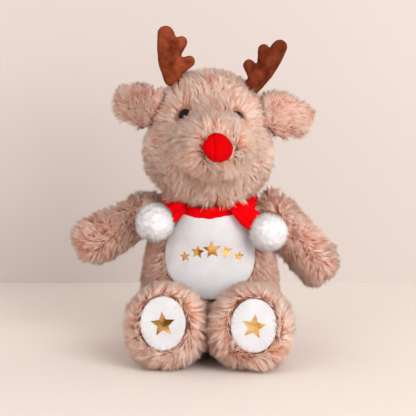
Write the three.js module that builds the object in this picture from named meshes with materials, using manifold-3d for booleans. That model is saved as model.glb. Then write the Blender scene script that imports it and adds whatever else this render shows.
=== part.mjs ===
// A sitting plush deer, about 26 cm tall: fur body, head, muzzle, ears, arms and legs, padded
// velour antlers, a white velour tummy and soles, and a fleece scarf that ends in two pompoms.
// Lengths are in millimetres and angles in degrees. +Z is up, the face looks along -Y, and the
// origin is the middle of the flat seat that the toy rests on. Left and right are the viewer's.
import * as THREE from "three";
import { mergeVertices } from "three/addons/utils/BufferGeometryUtils.js";
import Module from "manifold-3d";

const wasm = await Module();
wasm.setup();

// Driving dimensions

const sewnGap = 0.35; // between pieces sewn to each other
const flexGap = 0.55; // round the seat of a limb that swings on its seam
const overrun = 5; // how far a cutting tool runs past what it cuts
const floorCut = 0.5; // how deep the seat and the heels are pressed flat

const furCloth = 6; // plush cloth with its pile, as a wall
const velourCloth = 2;

const torso = {
  halfWidth: 54.5,
  halfDepth: 47,
  run: 79.5, // from the seat's rounding up to the shoulders
  seatRounding: 14.5,
  // share of the run, of the half width and of the half depth
  capPower: 3, // above 2, an end is fuller than round
  girthShares: [
    [0, 0.88, 0.88],
    [0.2, 0.98, 0.98],
    [0.45, 1, 1],
    [0.75, 0.93, 0.97],
    [1, 0.8, 0.92],
  ],
};

const neck = {
  radius: 45.5, // the round top of the torso, which the head turns on
  plugRadius: 16.5,
  plugDepth: 34,
};

const pouch = { halfWidth: 36, halfDepth: 30, height: 17, behindLegs: 9 };

const tummy = {
  halfWidth: 36,
  halfHeight: 33, // below its middle; above, it runs up to the scarf
  height: 76, // of its middle above the seat
  sunk: 0.8, // below the tips of the pile round it
};

const arm = {
  radius: 18, // at the shoulder seam
  halfDepth: 17,
  run: 52,
  pawRounding: 14,
  belowScarf: 11, // its middle at the shoulder
  seamRadius: 9,
  lowestAngle: 49, // how far below level it swings
  proud: 5.5, // how far the middle of the seam lies outside the torso
  girthShares: [
    [0, 1, 1],
    [0.3, 0.98, 1],
    [0.7, 1.06, 1.04],
    [1, 1.04, 1],
  ],
};
const armDroopAngle = { left: 25, right: 48 };
const armForwardAngle = { left: 12, right: 4 };
const armStretch = { left: -3.5, right: 2 };

const leg = {
  radius: 27, // at the hip seam
  footHalfWidth: 31,
  footHalfHeight: 33,
  run: 36,
  soleRounding: 11,
  solePower: 2.3,
  seamRadius: 12,
  proud: 10,
  // the hip is round, and the foot swells out of it
  swellShares: [0, 0.35, 1, 1.02, 0.93],
};
const legSplayAngle = { left: 5, right: 1 };
const legLiftAngle = { left: 7, right: 4 };
const legStretch = { left: 0, right: 6 };

const sole = { halfWidth: 17.6, halfHeight: 20.6, rise: 4, sunk: 1.6 };

const head = {
  halfWidth: 50.5,
  halfDepth: 45.5,
  run: 28,
  crownRounding: 42,
  chinRounding: 37,
  sink: 27.5, // how deep the round neck reaches into it
  forward: 14,
  leanAngle: 10, // its chin is pushed forwards
  girthShares: [
    [0, 0.985, 0.985],
    [0.35, 1, 1],
    [1, 0.87, 0.93],
  ],
};
const headTurnAngle = 1.5;
const headRollAngle = 2.6;
const headAside = -4.5; // from over the middle of the neck
const muzzleTurnAngle = 3.4;

const muzzle = {
  halfWidth: 37,
  halfHeight: 30.5,
  run: 45,
  tipRounding: 19,
  tipPower: 2.2,
  rootInHead: 27, // from the front of the head back to where it starts
  chinHeight: 43, // its underside above the middle of the neck
  girthShares: [
    [0, 1, 1],
    [0.45, 0.97, 0.97],
    [1, 0.73, 0.77],
  ],
};

const nose = { halfWidth: 12, halfHeight: 11.5, halfDepth: 6.5, rise: 3.5 };

const eye = {
  radius: 5.6,
  domeHeight: 4.6,
  shankRadius: 2,
  shankLength: 12,
  ribs: 4,
  ribDepth: 0.35,
  sunk: 4.2,
  outwardAngle: 37,
  upwardAngle: 35,
};
const washer = { radius: 6, thickness: 1.6, hubRadius: 3.3, hubHeight: 1.4 };

const ear = {
  halfThickness: 6.2,
  rootHalfWidth: 16.5,
  halfWidth: 18,
  run: 24,
  tipRounding: 12.5,
  proud: 0.6,
  upwardAngle: 28, // where it is sewn on, above the middle of the head
  // share of the run, of the half width and of the half thickness
  girthShares: [
    [0.45, 1, 1],
    [1, 0.8, 0.9],
  ],
};
const earFlapAngles = [-25, 25]; // as far as it swings each way
const earLiftAngle = { left: 6, right: -4 };
const earSweepAngle = { left: 34, right: 6 };

const antler = {
  halfThickness: 5.4,
  rootHalfWidth: 7.8,
  halfWidth: 8.7,
  tipHalfWidth: 7.2,
  run: 35.5,
  tineRadius: 5.2,
  tineHalfThickness: 4.4,
  tineRootShare: 1.4,
  cover: 1.3,
  mouthShare: 0.6,
  proud: 1.8,
  // points of the main beam: share of the run, and sideways bow as a share of the run
  bowShares: [
    [0, 0],
    [0.5, 0.04],
    [1, 0],
  ],
  // share of the run, of the half width and of the half thickness
  girthShares: [
    [0.4, 1, 1],
    [0.75, 0.95, 1],
  ],
  tipThicknessShare: 0.9,
  // start and end of each tine: share of the run up, and share of the run inwards
  tineShares: [
    [0.2, 0, 0.34, 0.39],
    [0.48, 0, 0.78, 0.3],
  ],
};
const antlerLeanAngle = { left: 12, right: 32 };
const antlerOutwardAngle = { left: 32, right: 35.5 }; // where it is sewn on, from the crown
const antlerTwistAngle = { left: 0, right: 30 }; // the right one is turned on its stem

const scarf = {
  halfHeight: 6,
  halfThickness: 2.6,
  polarAngle: 52, // from the scarf's own axis
  tiltAngle: 13, // lower at the throat than at the nape
  grooveOpenShare: 3, // the groove runs out past the cloth by this many thicknesses
  foldShare: 0.1,
  folds: 9,
};

const scarfTail = {
  halfThickness: 3.4,
  rootHalfWidth: 6.4,
  halfWidth: 9.5,
  pleats: 3,
  pleatShare: 0.3,
  // share of its length, of the half width and of the half thickness
  girthShares: [
    [0.4, 1, 1],
    [1, 0.7, 1],
  ],
};
// where each tail leaves the scarf, round its axis from the throat, and how it hangs
const scarfTailAngle = { left: -35, right: 31 };
const scarfTailLength = { left: 19.5, right: 29 };
const scarfTailDroopAngle = { left: 38, right: 40 };

const pompom = { radius: 14.3, ruffleShare: 0.035, ruffles: 7, waistShare: 0.02 };

const stubTail = {
  halfThickness: 5.5,
  rootHalfWidth: 7,
  halfWidth: 9,
  run: 15,
  tipRounding: 8,
  proud: 3,
  height: 36,
  liftAngle: 55, // from straight up, backwards
  // share of the run, of the half width and of the half thickness
  girthShares: [
    [0.6, 1, 1],
    [1, 0.8, 0.9],
  ],
};

// How finely each form is faceted
const facets = { body: 20, limb: 14, small: 8, inner: 10, seat: 16, neckSeat: 24, fold: 4 };
const rings = { body: 6, limb: 4, small: 3, cap: 4, smallCap: 2, inner: 3, tine: 2 };

// Colours

const cloths = {
  fur: cloth(0xc49a86),
  whiteVelour: cloth(0xf1ebe8),
  redFleece: cloth(0xdd1218),
  brownVelour: cloth(0x7c3a20),
  whiteWool: cloth(0xf5f3f5),
  filling: cloth(0xf6f4ee),
  calico: cloth(0xd9cdb8),
  blackPlastic: new THREE.MeshStandardMaterial({ color: 0x120f0e, roughness: 0.15 }),
  clearPlastic: new THREE.MeshStandardMaterial({ color: 0xe6e4dc, roughness: 0.45 }),
};

function cloth(color) {
  return new THREE.MeshStandardMaterial({ color, roughness: 0.95, metalness: 0 });
}

// Tools that the forms share

const radians = THREE.MathUtils.degToRad;
const up = new THREE.Vector3(0, 0, 1);
const forward = new THREE.Vector3(0, -1, 0);
const sides = { left: -1, right: 1 };

// Closes a stack of rings, each with as many points, with a point at either end.
function closedSkin(first, stack, last) {
  const around = stack[0].length;
  const points = [first, ...stack.flat(), last];
  const faces = [];
  const at = (ring, side) => 1 + ring * around + (side % around);
  for (let side = 0; side < around; side++) {
    faces.push(0, at(0, side + 1), at(0, side));
    for (let ring = 1; ring < stack.length; ring++) {
      const [a, b] = [at(ring - 1, side), at(ring - 1, side + 1)];
      const [c, d] = [at(ring, side), at(ring, side + 1)];
      faces.push(a, b, d, a, d, c);
    }
    const top = stack.length - 1;
    faces.push(points.length - 1, at(top, side), at(top, side + 1));
  }
  const skin = new THREE.BufferGeometry().setFromPoints(points);
  skin.setIndex(faces);
  return skin;
}

// A stuffed form along +Z: oval rings that swell and taper, with a rounded root and tip.
// Each girth is [share of the run, half width along X, half depth along Y].
function stuffed(form, inset = 0) {
  const {
    run,
    girths,
    rootCap,
    tipCap,
    capPower = 2,
    rootPower = capPower,
    around = facets.limb,
    along = rings.limb,
    capRings = rings.cap,
    bow = () => 0,
    crease = () => 1,
  } = form;
  const swell = new THREE.CatmullRomCurve3(
    girths.map(([share, width, depth]) => new THREE.Vector3(share * run, width, depth)),
    false,
    "centripetal",
  );
  const body = swell.getPoints(along).map(({ x, y, z }) => ({ s: x, width: y, depth: z }));
  const cap = (end, length, power, direction) =>
    Array.from({ length: capRings }, (_, i) => {
      const angle = ((i + 1) / (capRings + 1)) * (Math.PI / 2);
      const rise = Math.sin(angle);
      const shrink = (1 - rise ** power) ** (1 / power);
      return {
        s: end.s + direction * (length - inset) * rise,
        width: inset + (end.width - inset) * shrink,
        depth: inset + (end.depth - inset) * shrink,
      };
    });
  const stations = [
    ...cap(body[0], rootCap, rootPower, -1).reverse(),
    ...body,
    ...cap(body[along], tipCap, capPower, 1),
  ];
  const stack = stations.map(({ s, width, depth }) =>
    Array.from({ length: around }, (_, i) => {
      const angle = (i / around) * 2 * Math.PI;
      return new THREE.Vector3(
        bow(s) + (width - inset) * Math.cos(angle),
        (depth - inset) * crease(angle, s) * Math.sin(angle),
        s,
      );
    }),
  );
  const end = (s) => new THREE.Vector3(bow(s), 0, s);
  const [bottom, top] = [inset - rootCap, run + tipCap - inset];
  return closedSkin(end(bottom), stack, end(top));
}

// A ball or an oval ball, whose facets all lie within it.
function ovalBall(halfX, halfY, halfZ, around = facets.seat) {
  return new THREE.SphereGeometry(1, around, around / 2).scale(halfX, halfY, halfZ);
}

// A round seat, whose facets all lie outside an oval ball of these sizes.
function ovalSeat(halfX, halfY, halfZ, around = facets.seat) {
  const outside = 1 / Math.cos(Math.PI / around) ** 2;
  return ovalBall(halfX, halfY, halfZ, around).scale(outside, outside, outside);
}

// A rod along Z.
function rod(radius, length, around = facets.inner) {
  return new THREE.CylinderGeometry(radius, radius, length, around).rotateX(Math.PI / 2);
}

function placed(geometry, position, rotation = new THREE.Quaternion()) {
  const matrix = new THREE.Matrix4();
  matrix.compose(position, rotation, new THREE.Vector3(1, 1, 1));
  return geometry.clone().applyMatrix4(matrix);
}

function solid(geometry) {
  const bare = geometry.clone();
  bare.deleteAttribute("normal");
  bare.deleteAttribute("uv");
  const merged = mergeVertices(bare);
  return new wasm.Manifold(
    new wasm.Mesh({
      numProp: 3,
      vertProperties: merged.attributes.position.array,
      triVerts: new Uint32Array(merged.index.array),
    }),
  );
}

function surface(shape) {
  const { vertProperties, triVerts, numProp, numVert } = shape.getMesh();
  const places = new Float32Array(numVert * 3);
  for (let i = 0; i < numVert; i++) {
    places.set(vertProperties.subarray(i * numProp, i * numProp + 3), i * 3);
  }
  const geometry = new THREE.BufferGeometry();
  geometry.setAttribute("position", new THREE.BufferAttribute(places, 3));
  geometry.setIndex(new THREE.BufferAttribute(triVerts, 1));
  geometry.computeVertexNormals();
  return geometry;
}

const cut = (shape, ...tools) => tools.reduce((left, tool) => left.subtract(tool), shape);

// Where a line from inside a form, in a direction, leaves its surface.
function seatOn(geometry, from, direction) {
  const probe = new THREE.Mesh(geometry, new THREE.MeshBasicMaterial({ side: THREE.DoubleSide }));
  const hits = new THREE.Raycaster(from, direction).intersectObject(probe);
  return hits[hits.length - 1].point;
}

function piece(name, shape, material) {
  const mesh = new THREE.Mesh(shape.isBufferGeometry ? shape : surface(shape), material);
  mesh.name = name;
  return mesh;
}

function frameAt(name, position, rotation = new THREE.Quaternion()) {
  const group = new THREE.Group();
  group.name = name;
  group.position.copy(position);
  group.quaternion.copy(rotation);
  return group;
}

// Turns the frame so that its +Z runs along `along` and its +Y as near `deep` as it can.
function aimed(along, deep) {
  const z = along.clone().normalize();
  const x = deep.clone().cross(z).normalize();
  const y = z.clone().cross(x);
  return new THREE.Quaternion().setFromRotationMatrix(new THREE.Matrix4().makeBasis(x, y, z));
}

const direction = (x, y, z) => new THREE.Vector3(x, y, z).normalize();

// What a limb swings past: the larger body without the limb's own seat, turned about the seam
// to each angle of the swing and seen from the limb's frame.
function sweptBody(body, seat, group, axis, angles) {
  const passed = surface(cut(body, seat));
  group.updateMatrix();
  const toLimb = group.matrix.clone().invert();
  return angles.map((angle) => {
    const turn = new THREE.Quaternion().setFromAxisAngle(axis, -radians(angle));
    const about = new THREE.Matrix4().compose(
      group.position.clone().sub(group.position.clone().applyQuaternion(turn)),
      turn,
      new THREE.Vector3(1, 1, 1),
    );
    return solid(passed.clone().applyMatrix4(about).applyMatrix4(toLimb));
  });
}

// The floor as a block, seen from a frame that stands in the part's own.
function floorFrom(group) {
  const size = 2 * (torso.halfWidth + leg.run + leg.footHalfWidth + overrun);
  const block = new THREE.BoxGeometry(size, size, size).translate(0, 0, -size / 2);
  group.updateMatrix();
  return solid(block.applyMatrix4(group.matrix.clone().invert()));
}

// Torso, with the seat, the neck's round top and the tummy

const scaled = (shares, width, depth) => shares.map(([s, w, d]) => [s, w * width, d * depth]);

const torsoForm = {
  run: torso.run,
  girths: scaled(torso.girthShares, torso.halfWidth, torso.halfDepth),
  rootCap: torso.seatRounding,
  tipCap: torso.seatRounding,
  capPower: torso.capPower,
  around: facets.body,
  along: rings.body,
};
const seatHeight = torso.seatRounding - floorCut;
const neckMiddle = new THREE.Vector3(0, 0, seatHeight + torso.run);

function torsoSolid(inset = 0, around = facets.body, along = rings.body) {
  const trunk = stuffed({ ...torsoForm, around, along }, inset).translate(0, 0, seatHeight);
  const crown = ovalBall(neck.radius - inset, neck.radius - inset, neck.radius - inset, around);
  return solid(trunk).add(solid(placed(crown, neckMiddle)));
}

const torsoOuter = torsoSolid();
const torsoSurface = surface(torsoOuter);

// Shoulders and hips: seam balls that sit part of the way in the torso.
const scarfSideHeight =
  neckMiddle.z + neck.radius * Math.cos(radians(scarf.polarAngle)) * Math.cos(radians(scarf.tiltAngle));
const shoulderHeight = scarfSideHeight - scarf.halfHeight - arm.belowScarf;

function shoulderOf(side) {
  const outward = direction(sides[side], 0, 0);
  const skin = seatOn(torsoSurface, new THREE.Vector3(0, 0, shoulderHeight), outward);
  return skin.addScaledVector(outward, arm.proud);
}

// The leg slants up from the hip, so the hip is low enough for the foot to reach the floor.
function hipOf(side) {
  const apart = leg.footHalfWidth + sewnGap;
  const lift = radians(legLiftAngle[side]);
  const run = leg.run + legStretch[side];
  const height = leg.footHalfHeight * Math.cos(lift) - run * Math.sin(lift) - floorCut;
  const from = new THREE.Vector3(sides[side] * apart, 0, height);
  return seatOn(torsoSurface, from, forward).addScaledVector(forward, leg.proud);
}

const shoulder = { left: shoulderOf("left"), right: shoulderOf("right") };
const hip = { left: hipOf("left"), right: hipOf("right") };

function seamBall(middle, radius, clearance, around = facets.seat) {
  const reach = radius + clearance;
  return solid(placed(ovalSeat(reach, reach, reach, around), middle));
}

const limbSeats = [
  seamBall(shoulder.left, arm.radius, flexGap),
  seamBall(shoulder.right, arm.radius, flexGap),
  seamBall(hip.left, leg.radius, flexGap),
  seamBall(hip.right, leg.radius, flexGap),
];

// The scarf lies on a circle of the neck's round top, flush with it, in a groove.
const scarfAxis = direction(0, -Math.sin(radians(scarf.tiltAngle)), Math.cos(radians(scarf.tiltAngle)));
const scarfRadius = neck.radius - scarf.halfThickness;

function scarfRing(clearance, foldShare, outward, around) {
  const profile = facets.small;
  const sections = Array.from({ length: around }, (_, i) => {
    const turn = (i / around) * 2 * Math.PI;
    const fold = 1 + foldShare * Math.sin(scarf.folds * turn);
    const ruck = 1 - foldShare + foldShare * Math.cos((scarf.folds - 2) * turn);
    return Array.from({ length: profile }, (_, j) => {
      const angle = (j / profile) * 2 * Math.PI;
      const side = Math.cos(angle) > 0 ? outward : 1;
      const tall = (scarf.halfHeight + clearance) * fold * Math.sin(angle);
      const thick = (scarf.halfThickness + clearance) * ruck * side * Math.cos(angle);
      const polar = radians(scarf.polarAngle) - tall / scarfRadius;
      const reach = scarfRadius + thick;
      return new THREE.Vector3(
        reach * Math.sin(polar) * Math.sin(turn),
        -reach * Math.sin(polar) * Math.cos(turn),
        reach * Math.cos(polar),
      );
    });
  });
  const faces = [];
  for (let i = 0; i < around; i++) {
    for (let j = 0; j < profile; j++) {
      const [next, over] = [(i + 1) % around, (j + 1) % profile];
      const [a, b] = [i * profile + j, next * profile + j];
      const [c, d] = [i * profile + over, next * profile + over];
      faces.push(a, b, d, a, d, c);
    }
  }
  const ring = new THREE.BufferGeometry().setFromPoints(sections.flat());
  ring.setIndex(faces);
  return placed(ring, neckMiddle, aimed(scarfAxis, new THREE.Vector3(0, 1, 0)));
}

const scarfFoldReach = scarf.halfHeight * scarf.foldShare;
const scarfGroove = solid(scarfRing(sewnGap + scarfFoldReach, 0, scarf.grooveOpenShare, facets.neckSeat));
const scarfBand = cut(
  solid(scarfRing(0, scarf.foldShare, 1, facets.fold * scarf.folds)),
  ...limbSeats,
);

// The stub tail's seam is an oval ball that sits part of the way in the back.
const backward = new THREE.Vector3(0, 1, 0);
const stubSeat = seatOn(torsoSurface, new THREE.Vector3(0, 0, stubTail.height), backward);
stubSeat.addScaledVector(backward, stubTail.proud);
const stubAim = aimed(
  direction(0, Math.sin(radians(stubTail.liftAngle)), Math.cos(radians(stubTail.liftAngle))),
  backward,
);

function seamOval(position, rotation, halfWidth, halfThickness, clearance) {
  const [wide, thick] = [halfWidth + clearance, halfThickness + clearance];
  return solid(placed(ovalSeat(wide, thick, thick, facets.limb), position, rotation));
}

const stubPocket = seamOval(
  stubSeat,
  stubAim,
  stubTail.rootHalfWidth,
  stubTail.halfThickness,
  flexGap,
);

// The tummy is a layer of velour let into the front of the pile.
const scarfFrontHeight =
  neckMiddle.z + neck.radius * Math.cos(radians(scarf.polarAngle + scarf.tiltAngle));

function tummyColumn(clearance) {
  const wide = tummy.halfWidth + clearance;
  const egg = new THREE.Shape();
  egg.absellipse(0, 0, wide, scarfFrontHeight - tummy.height + clearance, 0, Math.PI);
  egg.absellipse(0, 0, wide, tummy.halfHeight + clearance, Math.PI, 2 * Math.PI);
  const column = new THREE.ExtrudeGeometry(egg, {
    depth: torso.halfDepth + overrun,
    curveSegments: facets.inner,
    bevelEnabled: false,
  });
  return solid(column.rotateX(Math.PI / 2).translate(0, 0, tummy.height));
}

const tummyDepth = tummy.sunk + velourCloth;
const underTummy = torsoSolid(tummyDepth + sewnGap);
const tummyRecess = tummyColumn(sewnGap).subtract(underTummy);

const neckTube = solid(
  placed(
    rod(neck.plugRadius + sewnGap, neck.radius, facets.body),
    neckMiddle.clone().addScaledVector(up, neck.radius / 2 + neck.radius - neck.plugDepth),
  ),
);
const floorBlock = floorFrom(new THREE.Group());

function torsoPieces() {
  const hollow = torsoSolid(furCloth, facets.inner, rings.inner);
  const plush = cut(
    torsoOuter,
    hollow,
    ...limbSeats,
    scarfGroove,
    stubPocket,
    tummyRecess,
    neckTube,
    floorBlock,
  );

  const panel = cut(
    torsoSolid(tummy.sunk).intersect(tummyColumn(0)),
    torsoSolid(tummyDepth),
    ...limbSeats,
    scarfGroove,
  );

  const core = cut(
    torsoSolid(furCloth + sewnGap, facets.inner, rings.inner),
    ...limbSeats,
    neckTube,
    scarfGroove,
  );
  const beans = (clearance) => {
    const halfHeight = pouch.height + clearance;
    const bag = ovalBall(pouch.halfWidth + clearance, pouch.halfDepth + clearance, halfHeight);
    return solid(bag.translate(0, pouch.behindLegs, furCloth));
  };
  const filling = cut(core, beans(sewnGap));

  return [
    piece("torso_plush", plush, cloths.fur),
    piece("tummy_panel", panel, cloths.whiteVelour),
    piece("torso_stuffing", filling, cloths.filling),
    piece("bean_pouch", core.intersect(beans(0)), cloths.calico),
    piece("scarf_band", scarfBand, cloths.redFleece),
  ];
}

function neckPlug() {
  const profile = [new THREE.Vector2(0, neck.radius - neck.plugDepth + sewnGap)];
  profile.push(new THREE.Vector2(neck.plugRadius, neck.radius - neck.plugDepth + sewnGap));
  const rim = Math.asin(neck.plugRadius / neck.radius);
  for (let i = 0; i <= rings.smallCap; i++) {
    const angle = rim * (1 - i / rings.smallCap);
    profile.push(
      new THREE.Vector2(neck.radius * Math.sin(angle), neck.radius * Math.cos(angle)),
    );
  }
  const plug = new THREE.LatheGeometry(profile, facets.body).rotateX(Math.PI / 2);
  return piece("neck_stuffing", solid(placed(plug, neckMiddle)), cloths.filling);
}

const torsoPassed = torsoSolid(-flexGap);

// Arms and legs: plush tubes round their filling, open at the seam

function limb(name, form, seamRadius, group, extra = []) {
  const hole = rod(seamRadius, form.rootCap * 2).translate(0, 0, -form.rootCap);
  const inner = { ...form, around: facets.inner, along: rings.inner, capRings: rings.smallCap };
  const shell = cut(solid(stuffed(form)), solid(stuffed(inner, furCloth)), solid(hole), ...extra);
  const filling = solid(stuffed(inner, furCloth + sewnGap));
  group.add(piece(name + "_plush", shell, cloths.fur));
  group.add(piece(name + "_stuffing", cut(filling, ...extra), cloths.filling));
}

function armAt(side) {
  const [droop, swing] = [radians(armDroopAngle[side]), radians(armForwardAngle[side])];
  const along = direction(
    sides[side] * Math.cos(droop) * Math.cos(swing),
    -Math.cos(droop) * Math.sin(swing),
    -Math.sin(droop),
  );
  const group = frameAt("shoulder_" + side, shoulder[side], aimed(along, backward));
  const form = {
    run: arm.run + armStretch[side],
    girths: scaled(arm.girthShares, arm.radius, arm.halfDepth),
    rootCap: arm.radius,
    tipCap: arm.pawRounding,
  };
  form.girths[0] = [0, arm.radius, arm.radius];
  const seat = seamBall(shoulder[side], arm.radius, 0);
  const outwardLift = new THREE.Vector3(0, -sides[side], 0);
  const drop = armDroopAngle[side] - arm.lowestAngle;
  const armpit = sweptBody(torsoPassed, seat, group, outwardLift, [0, drop / 2, drop]);
  limb("arm_" + side, form, arm.seamRadius, group, armpit);
  return group;
}

function legAt(side) {
  const splay = radians(legSplayAngle[side]);
  const lift = radians(legLiftAngle[side]);
  const along = direction(
    sides[side] * Math.cos(lift) * Math.sin(splay),
    -Math.cos(lift) * Math.cos(splay),
    Math.sin(lift),
  );
  const group = frameAt("hip_" + side, hip[side], aimed(along, up));
  const run = leg.run + legStretch[side];
  const grow = (share, size) => leg.radius + share * (size - leg.radius);
  const steps = leg.swellShares.length - 1;
  const form = {
    run,
    girths: leg.swellShares.map((share, i) => [
      i / steps,
      grow(share, leg.footHalfWidth),
      grow(share, leg.footHalfHeight),
    ]),
    rootCap: leg.radius,
    rootPower: 2,
    tipCap: leg.soleRounding,
    capPower: leg.solePower,
    around: facets.limb,
  };
  const ovalRod = (clearance) => {
    const column = new THREE.CylinderGeometry(1, 1, run, facets.body).rotateX(Math.PI / 2);
    column.scale(sole.halfWidth + clearance, sole.halfHeight + clearance, 1);
    return solid(column.translate(0, sole.rise, run));
  };
  const padDepth = sole.sunk + velourCloth;
  const recess = ovalRod(sewnGap).subtract(solid(stuffed(form, padDepth + sewnGap)));
  limb("leg_" + side, form, leg.seamRadius, group, [recess, floorFrom(group)]);
  const layer = solid(stuffed(form, sole.sunk)).subtract(solid(stuffed(form, padDepth)));
  const pad = ovalRod(0).intersect(layer);
  group.add(piece("foot_pad_" + side, pad, cloths.whiteVelour));
  return group;
}

// Head. Its frame stands at the middle of the neck's round top.

const headForm = {
  run: head.run,
  girths: scaled(head.girthShares, head.halfWidth, head.halfDepth),
  rootCap: head.chinRounding,
  tipCap: head.crownRounding,
  around: facets.body,
};
const headBottom = neck.radius - head.sink;
const headRoot = new THREE.Vector3(headAside, -head.forward, headBottom + head.chinRounding);
const headLean = radians(head.leanAngle);
const headAim = aimed(direction(0, Math.sin(headLean), Math.cos(headLean)), backward);
const headMiddle = headRoot.clone().addScaledVector(up, head.run / 2);

const headSkin = (inset = 0, around = facets.body) =>
  placed(stuffed({ ...headForm, around }, inset), headRoot, headAim);
const headSurface = headSkin();

const neckSeat = seamBall(new THREE.Vector3(0, 0, 0), neck.radius, sewnGap, facets.body);

const muzzleForm = {
  run: muzzle.run,
  girths: scaled(muzzle.girthShares, muzzle.halfWidth, muzzle.halfHeight),
  rootCap: muzzle.tipRounding,
  tipCap: muzzle.tipRounding,
  capPower: muzzle.tipPower,
  around: facets.body,
};
const muzzleMiddle = new THREE.Vector3(
  headAside,
  headRoot.y - head.halfDepth + muzzle.rootInHead,
  muzzle.chinHeight + muzzle.halfHeight,
);
const muzzleLook = radians(muzzleTurnAngle);
const muzzleForward = direction(Math.sin(muzzleLook), -Math.cos(muzzleLook), 0);
const muzzleAim = aimed(muzzleForward, up);
const muzzleSkin = (inset = 0, around = facets.body) =>
  placed(stuffed({ ...muzzleForm, around }, inset), muzzleMiddle, muzzleAim);

function muzzlePieces(eyePockets) {
  const clear = solid(headSkin(-sewnGap));
  const cover = cut(
    solid(muzzleSkin()),
    solid(muzzleSkin(furCloth, facets.inner)),
    clear,
    ...eyePockets,
  );
  const filling = cut(solid(muzzleSkin(furCloth + sewnGap, facets.inner)), clear);
  const from = muzzleMiddle.clone().addScaledVector(up, nose.rise);
  const tip = seatOn(muzzleSkin(), from, muzzleForward);
  const button = ovalBall(nose.halfWidth, nose.halfDepth, nose.halfHeight, facets.limb);
  const turned = button.rotateZ(muzzleLook);
  const cap = cut(solid(placed(turned, tip)), solid(muzzleSkin(-sewnGap)));
  return [
    piece("muzzle_plush", cover, cloths.fur),
    piece("muzzle_stuffing", filling, cloths.filling),
    piece("nose", cap, cloths.redFleece),
  ];
}

// A safety eye: a domed head on a ribbed shank, which the washer grips inside the head.
function eyeProfile() {
  const dome = Array.from({ length: rings.cap + 1 }, (_, i) => {
    const angle = (i / rings.cap) * (Math.PI / 2);
    return new THREE.Vector2(eye.radius * Math.sin(angle), eye.domeHeight * Math.cos(angle));
  });
  const rib = eye.shankLength / (2 * eye.ribs + 1);
  const shank = Array.from({ length: eye.ribs }, (_, i) => [
    new THREE.Vector2(eye.shankRadius - eye.ribDepth, -rib * (2 * i + 1)),
    new THREE.Vector2(eye.shankRadius, -rib * (2 * i + 2)),
  ]).flat();
  const tip = new THREE.Vector2(0, -eye.shankLength);
  return [...dome, new THREE.Vector2(eye.shankRadius, 0), ...shank, tip].reverse();
}

function washerProfile(bore) {
  const { radius, thickness, hubRadius, hubHeight } = washer;
  return [
    new THREE.Vector2(bore, 0),
    new THREE.Vector2(bore, -thickness - hubHeight),
    new THREE.Vector2(hubRadius, -thickness - hubHeight),
    new THREE.Vector2(hubRadius, -thickness),
    new THREE.Vector2(radius, -thickness / 2),
    new THREE.Vector2(radius, 0),
    new THREE.Vector2(bore, 0),
  ];
}

const lathed = (profile, around = facets.inner) =>
  new THREE.LatheGeometry(profile, around).rotateX(Math.PI / 2);

function eyeFrame(side) {
  const [out, rise] = [radians(eye.outwardAngle), radians(eye.upwardAngle)];
  const look = direction(
    sides[side] * Math.cos(rise) * Math.sin(out),
    -Math.cos(rise) * Math.cos(out),
    Math.sin(rise),
  );
  const skin = seatOn(headSurface, headMiddle, look);
  return frameAt("eye_seat_" + side, skin.addScaledVector(look, -eye.sunk), aimed(look, up));
}

function headPieces() {
  const shellTools = [];
  const coreTools = [];
  const pockets = [];
  const loose = [];
  for (const side of Object.keys(sides)) {
    const frame = eyeFrame(side);
    const place = (shape) => solid(placed(shape, frame.position, frame.quaternion));
    const behindCloth = furCloth - eye.sunk + sewnGap;
    const pocketDepth = eye.domeHeight + overrun;
    const pocket = rod(eye.radius + sewnGap, pocketDepth).translate(0, 0, pocketDepth / 2 - sewnGap);
    shellTools.push(place(pocket));
    shellTools.push(place(rod(eye.shankRadius + sewnGap, 2 * eye.shankLength)));
    const roomLength = eye.shankLength + sewnGap;
    const room = rod(washer.radius + sewnGap, roomLength).translate(0, 0, -roomLength / 2);
    coreTools.push(place(room));
    shellTools.push(place(room.clone().translate(0, 0, sewnGap - behindCloth)));
    pockets.push(place(pocket));
    const ring = lathed(washerProfile(eye.shankRadius + sewnGap)).translate(0, 0, -behindCloth);
    frame.add(piece("eye_" + side, solid(lathed(eyeProfile())), cloths.blackPlastic));
    frame.add(piece("eye_washer_" + side, solid(ring), cloths.clearPlastic));
    loose.push(frame);
    const { position, quaternion } = earFrame(side);
    const earSeam = [position, quaternion, ear.rootHalfWidth, ear.halfThickness, flexGap];
    shellTools.push(seamOval(...earSeam));
    coreTools.push(seamOval(...earSeam));
    const crown = antlerFrame(side);
    const antlerSeam = [crown.position, crown.quaternion, antler.rootHalfWidth, antler.halfThickness];
    shellTools.push(seamOval(...antlerSeam, flexGap));
  }
  const throat = solid(rod(neck.plugRadius, 2 * neck.radius));
  const shell = cut(
    solid(headSkin()),
    solid(headSkin(furCloth, facets.inner)),
    neckSeat,
    throat,
    ...shellTools,
  );
  const core = cut(solid(headSkin(furCloth + sewnGap, facets.inner)), neckSeat, ...coreTools);
  return [
    piece("head_plush", shell, cloths.fur),
    piece("head_stuffing", core, cloths.filling),
    ...muzzlePieces(pockets),
    ...loose,
  ];
}

// Ears: flat furry leaves that flap on their seam

function earFrame(side) {
  const rise = radians(ear.upwardAngle);
  const out = direction(sides[side] * Math.cos(rise), 0, Math.sin(rise));
  const skin = seatOn(headSurface, headMiddle, out);
  const lift = radians(earLiftAngle[side]);
  const sweep = radians(earSweepAngle[side]);
  const along = direction(
    sides[side] * Math.cos(lift) * Math.cos(sweep),
    Math.cos(lift) * Math.sin(sweep),
    Math.sin(lift),
  );
  const seam = skin.addScaledVector(out, ear.proud);
  return frameAt("ear_seam_" + side, seam, aimed(along, backward));
}

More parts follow.
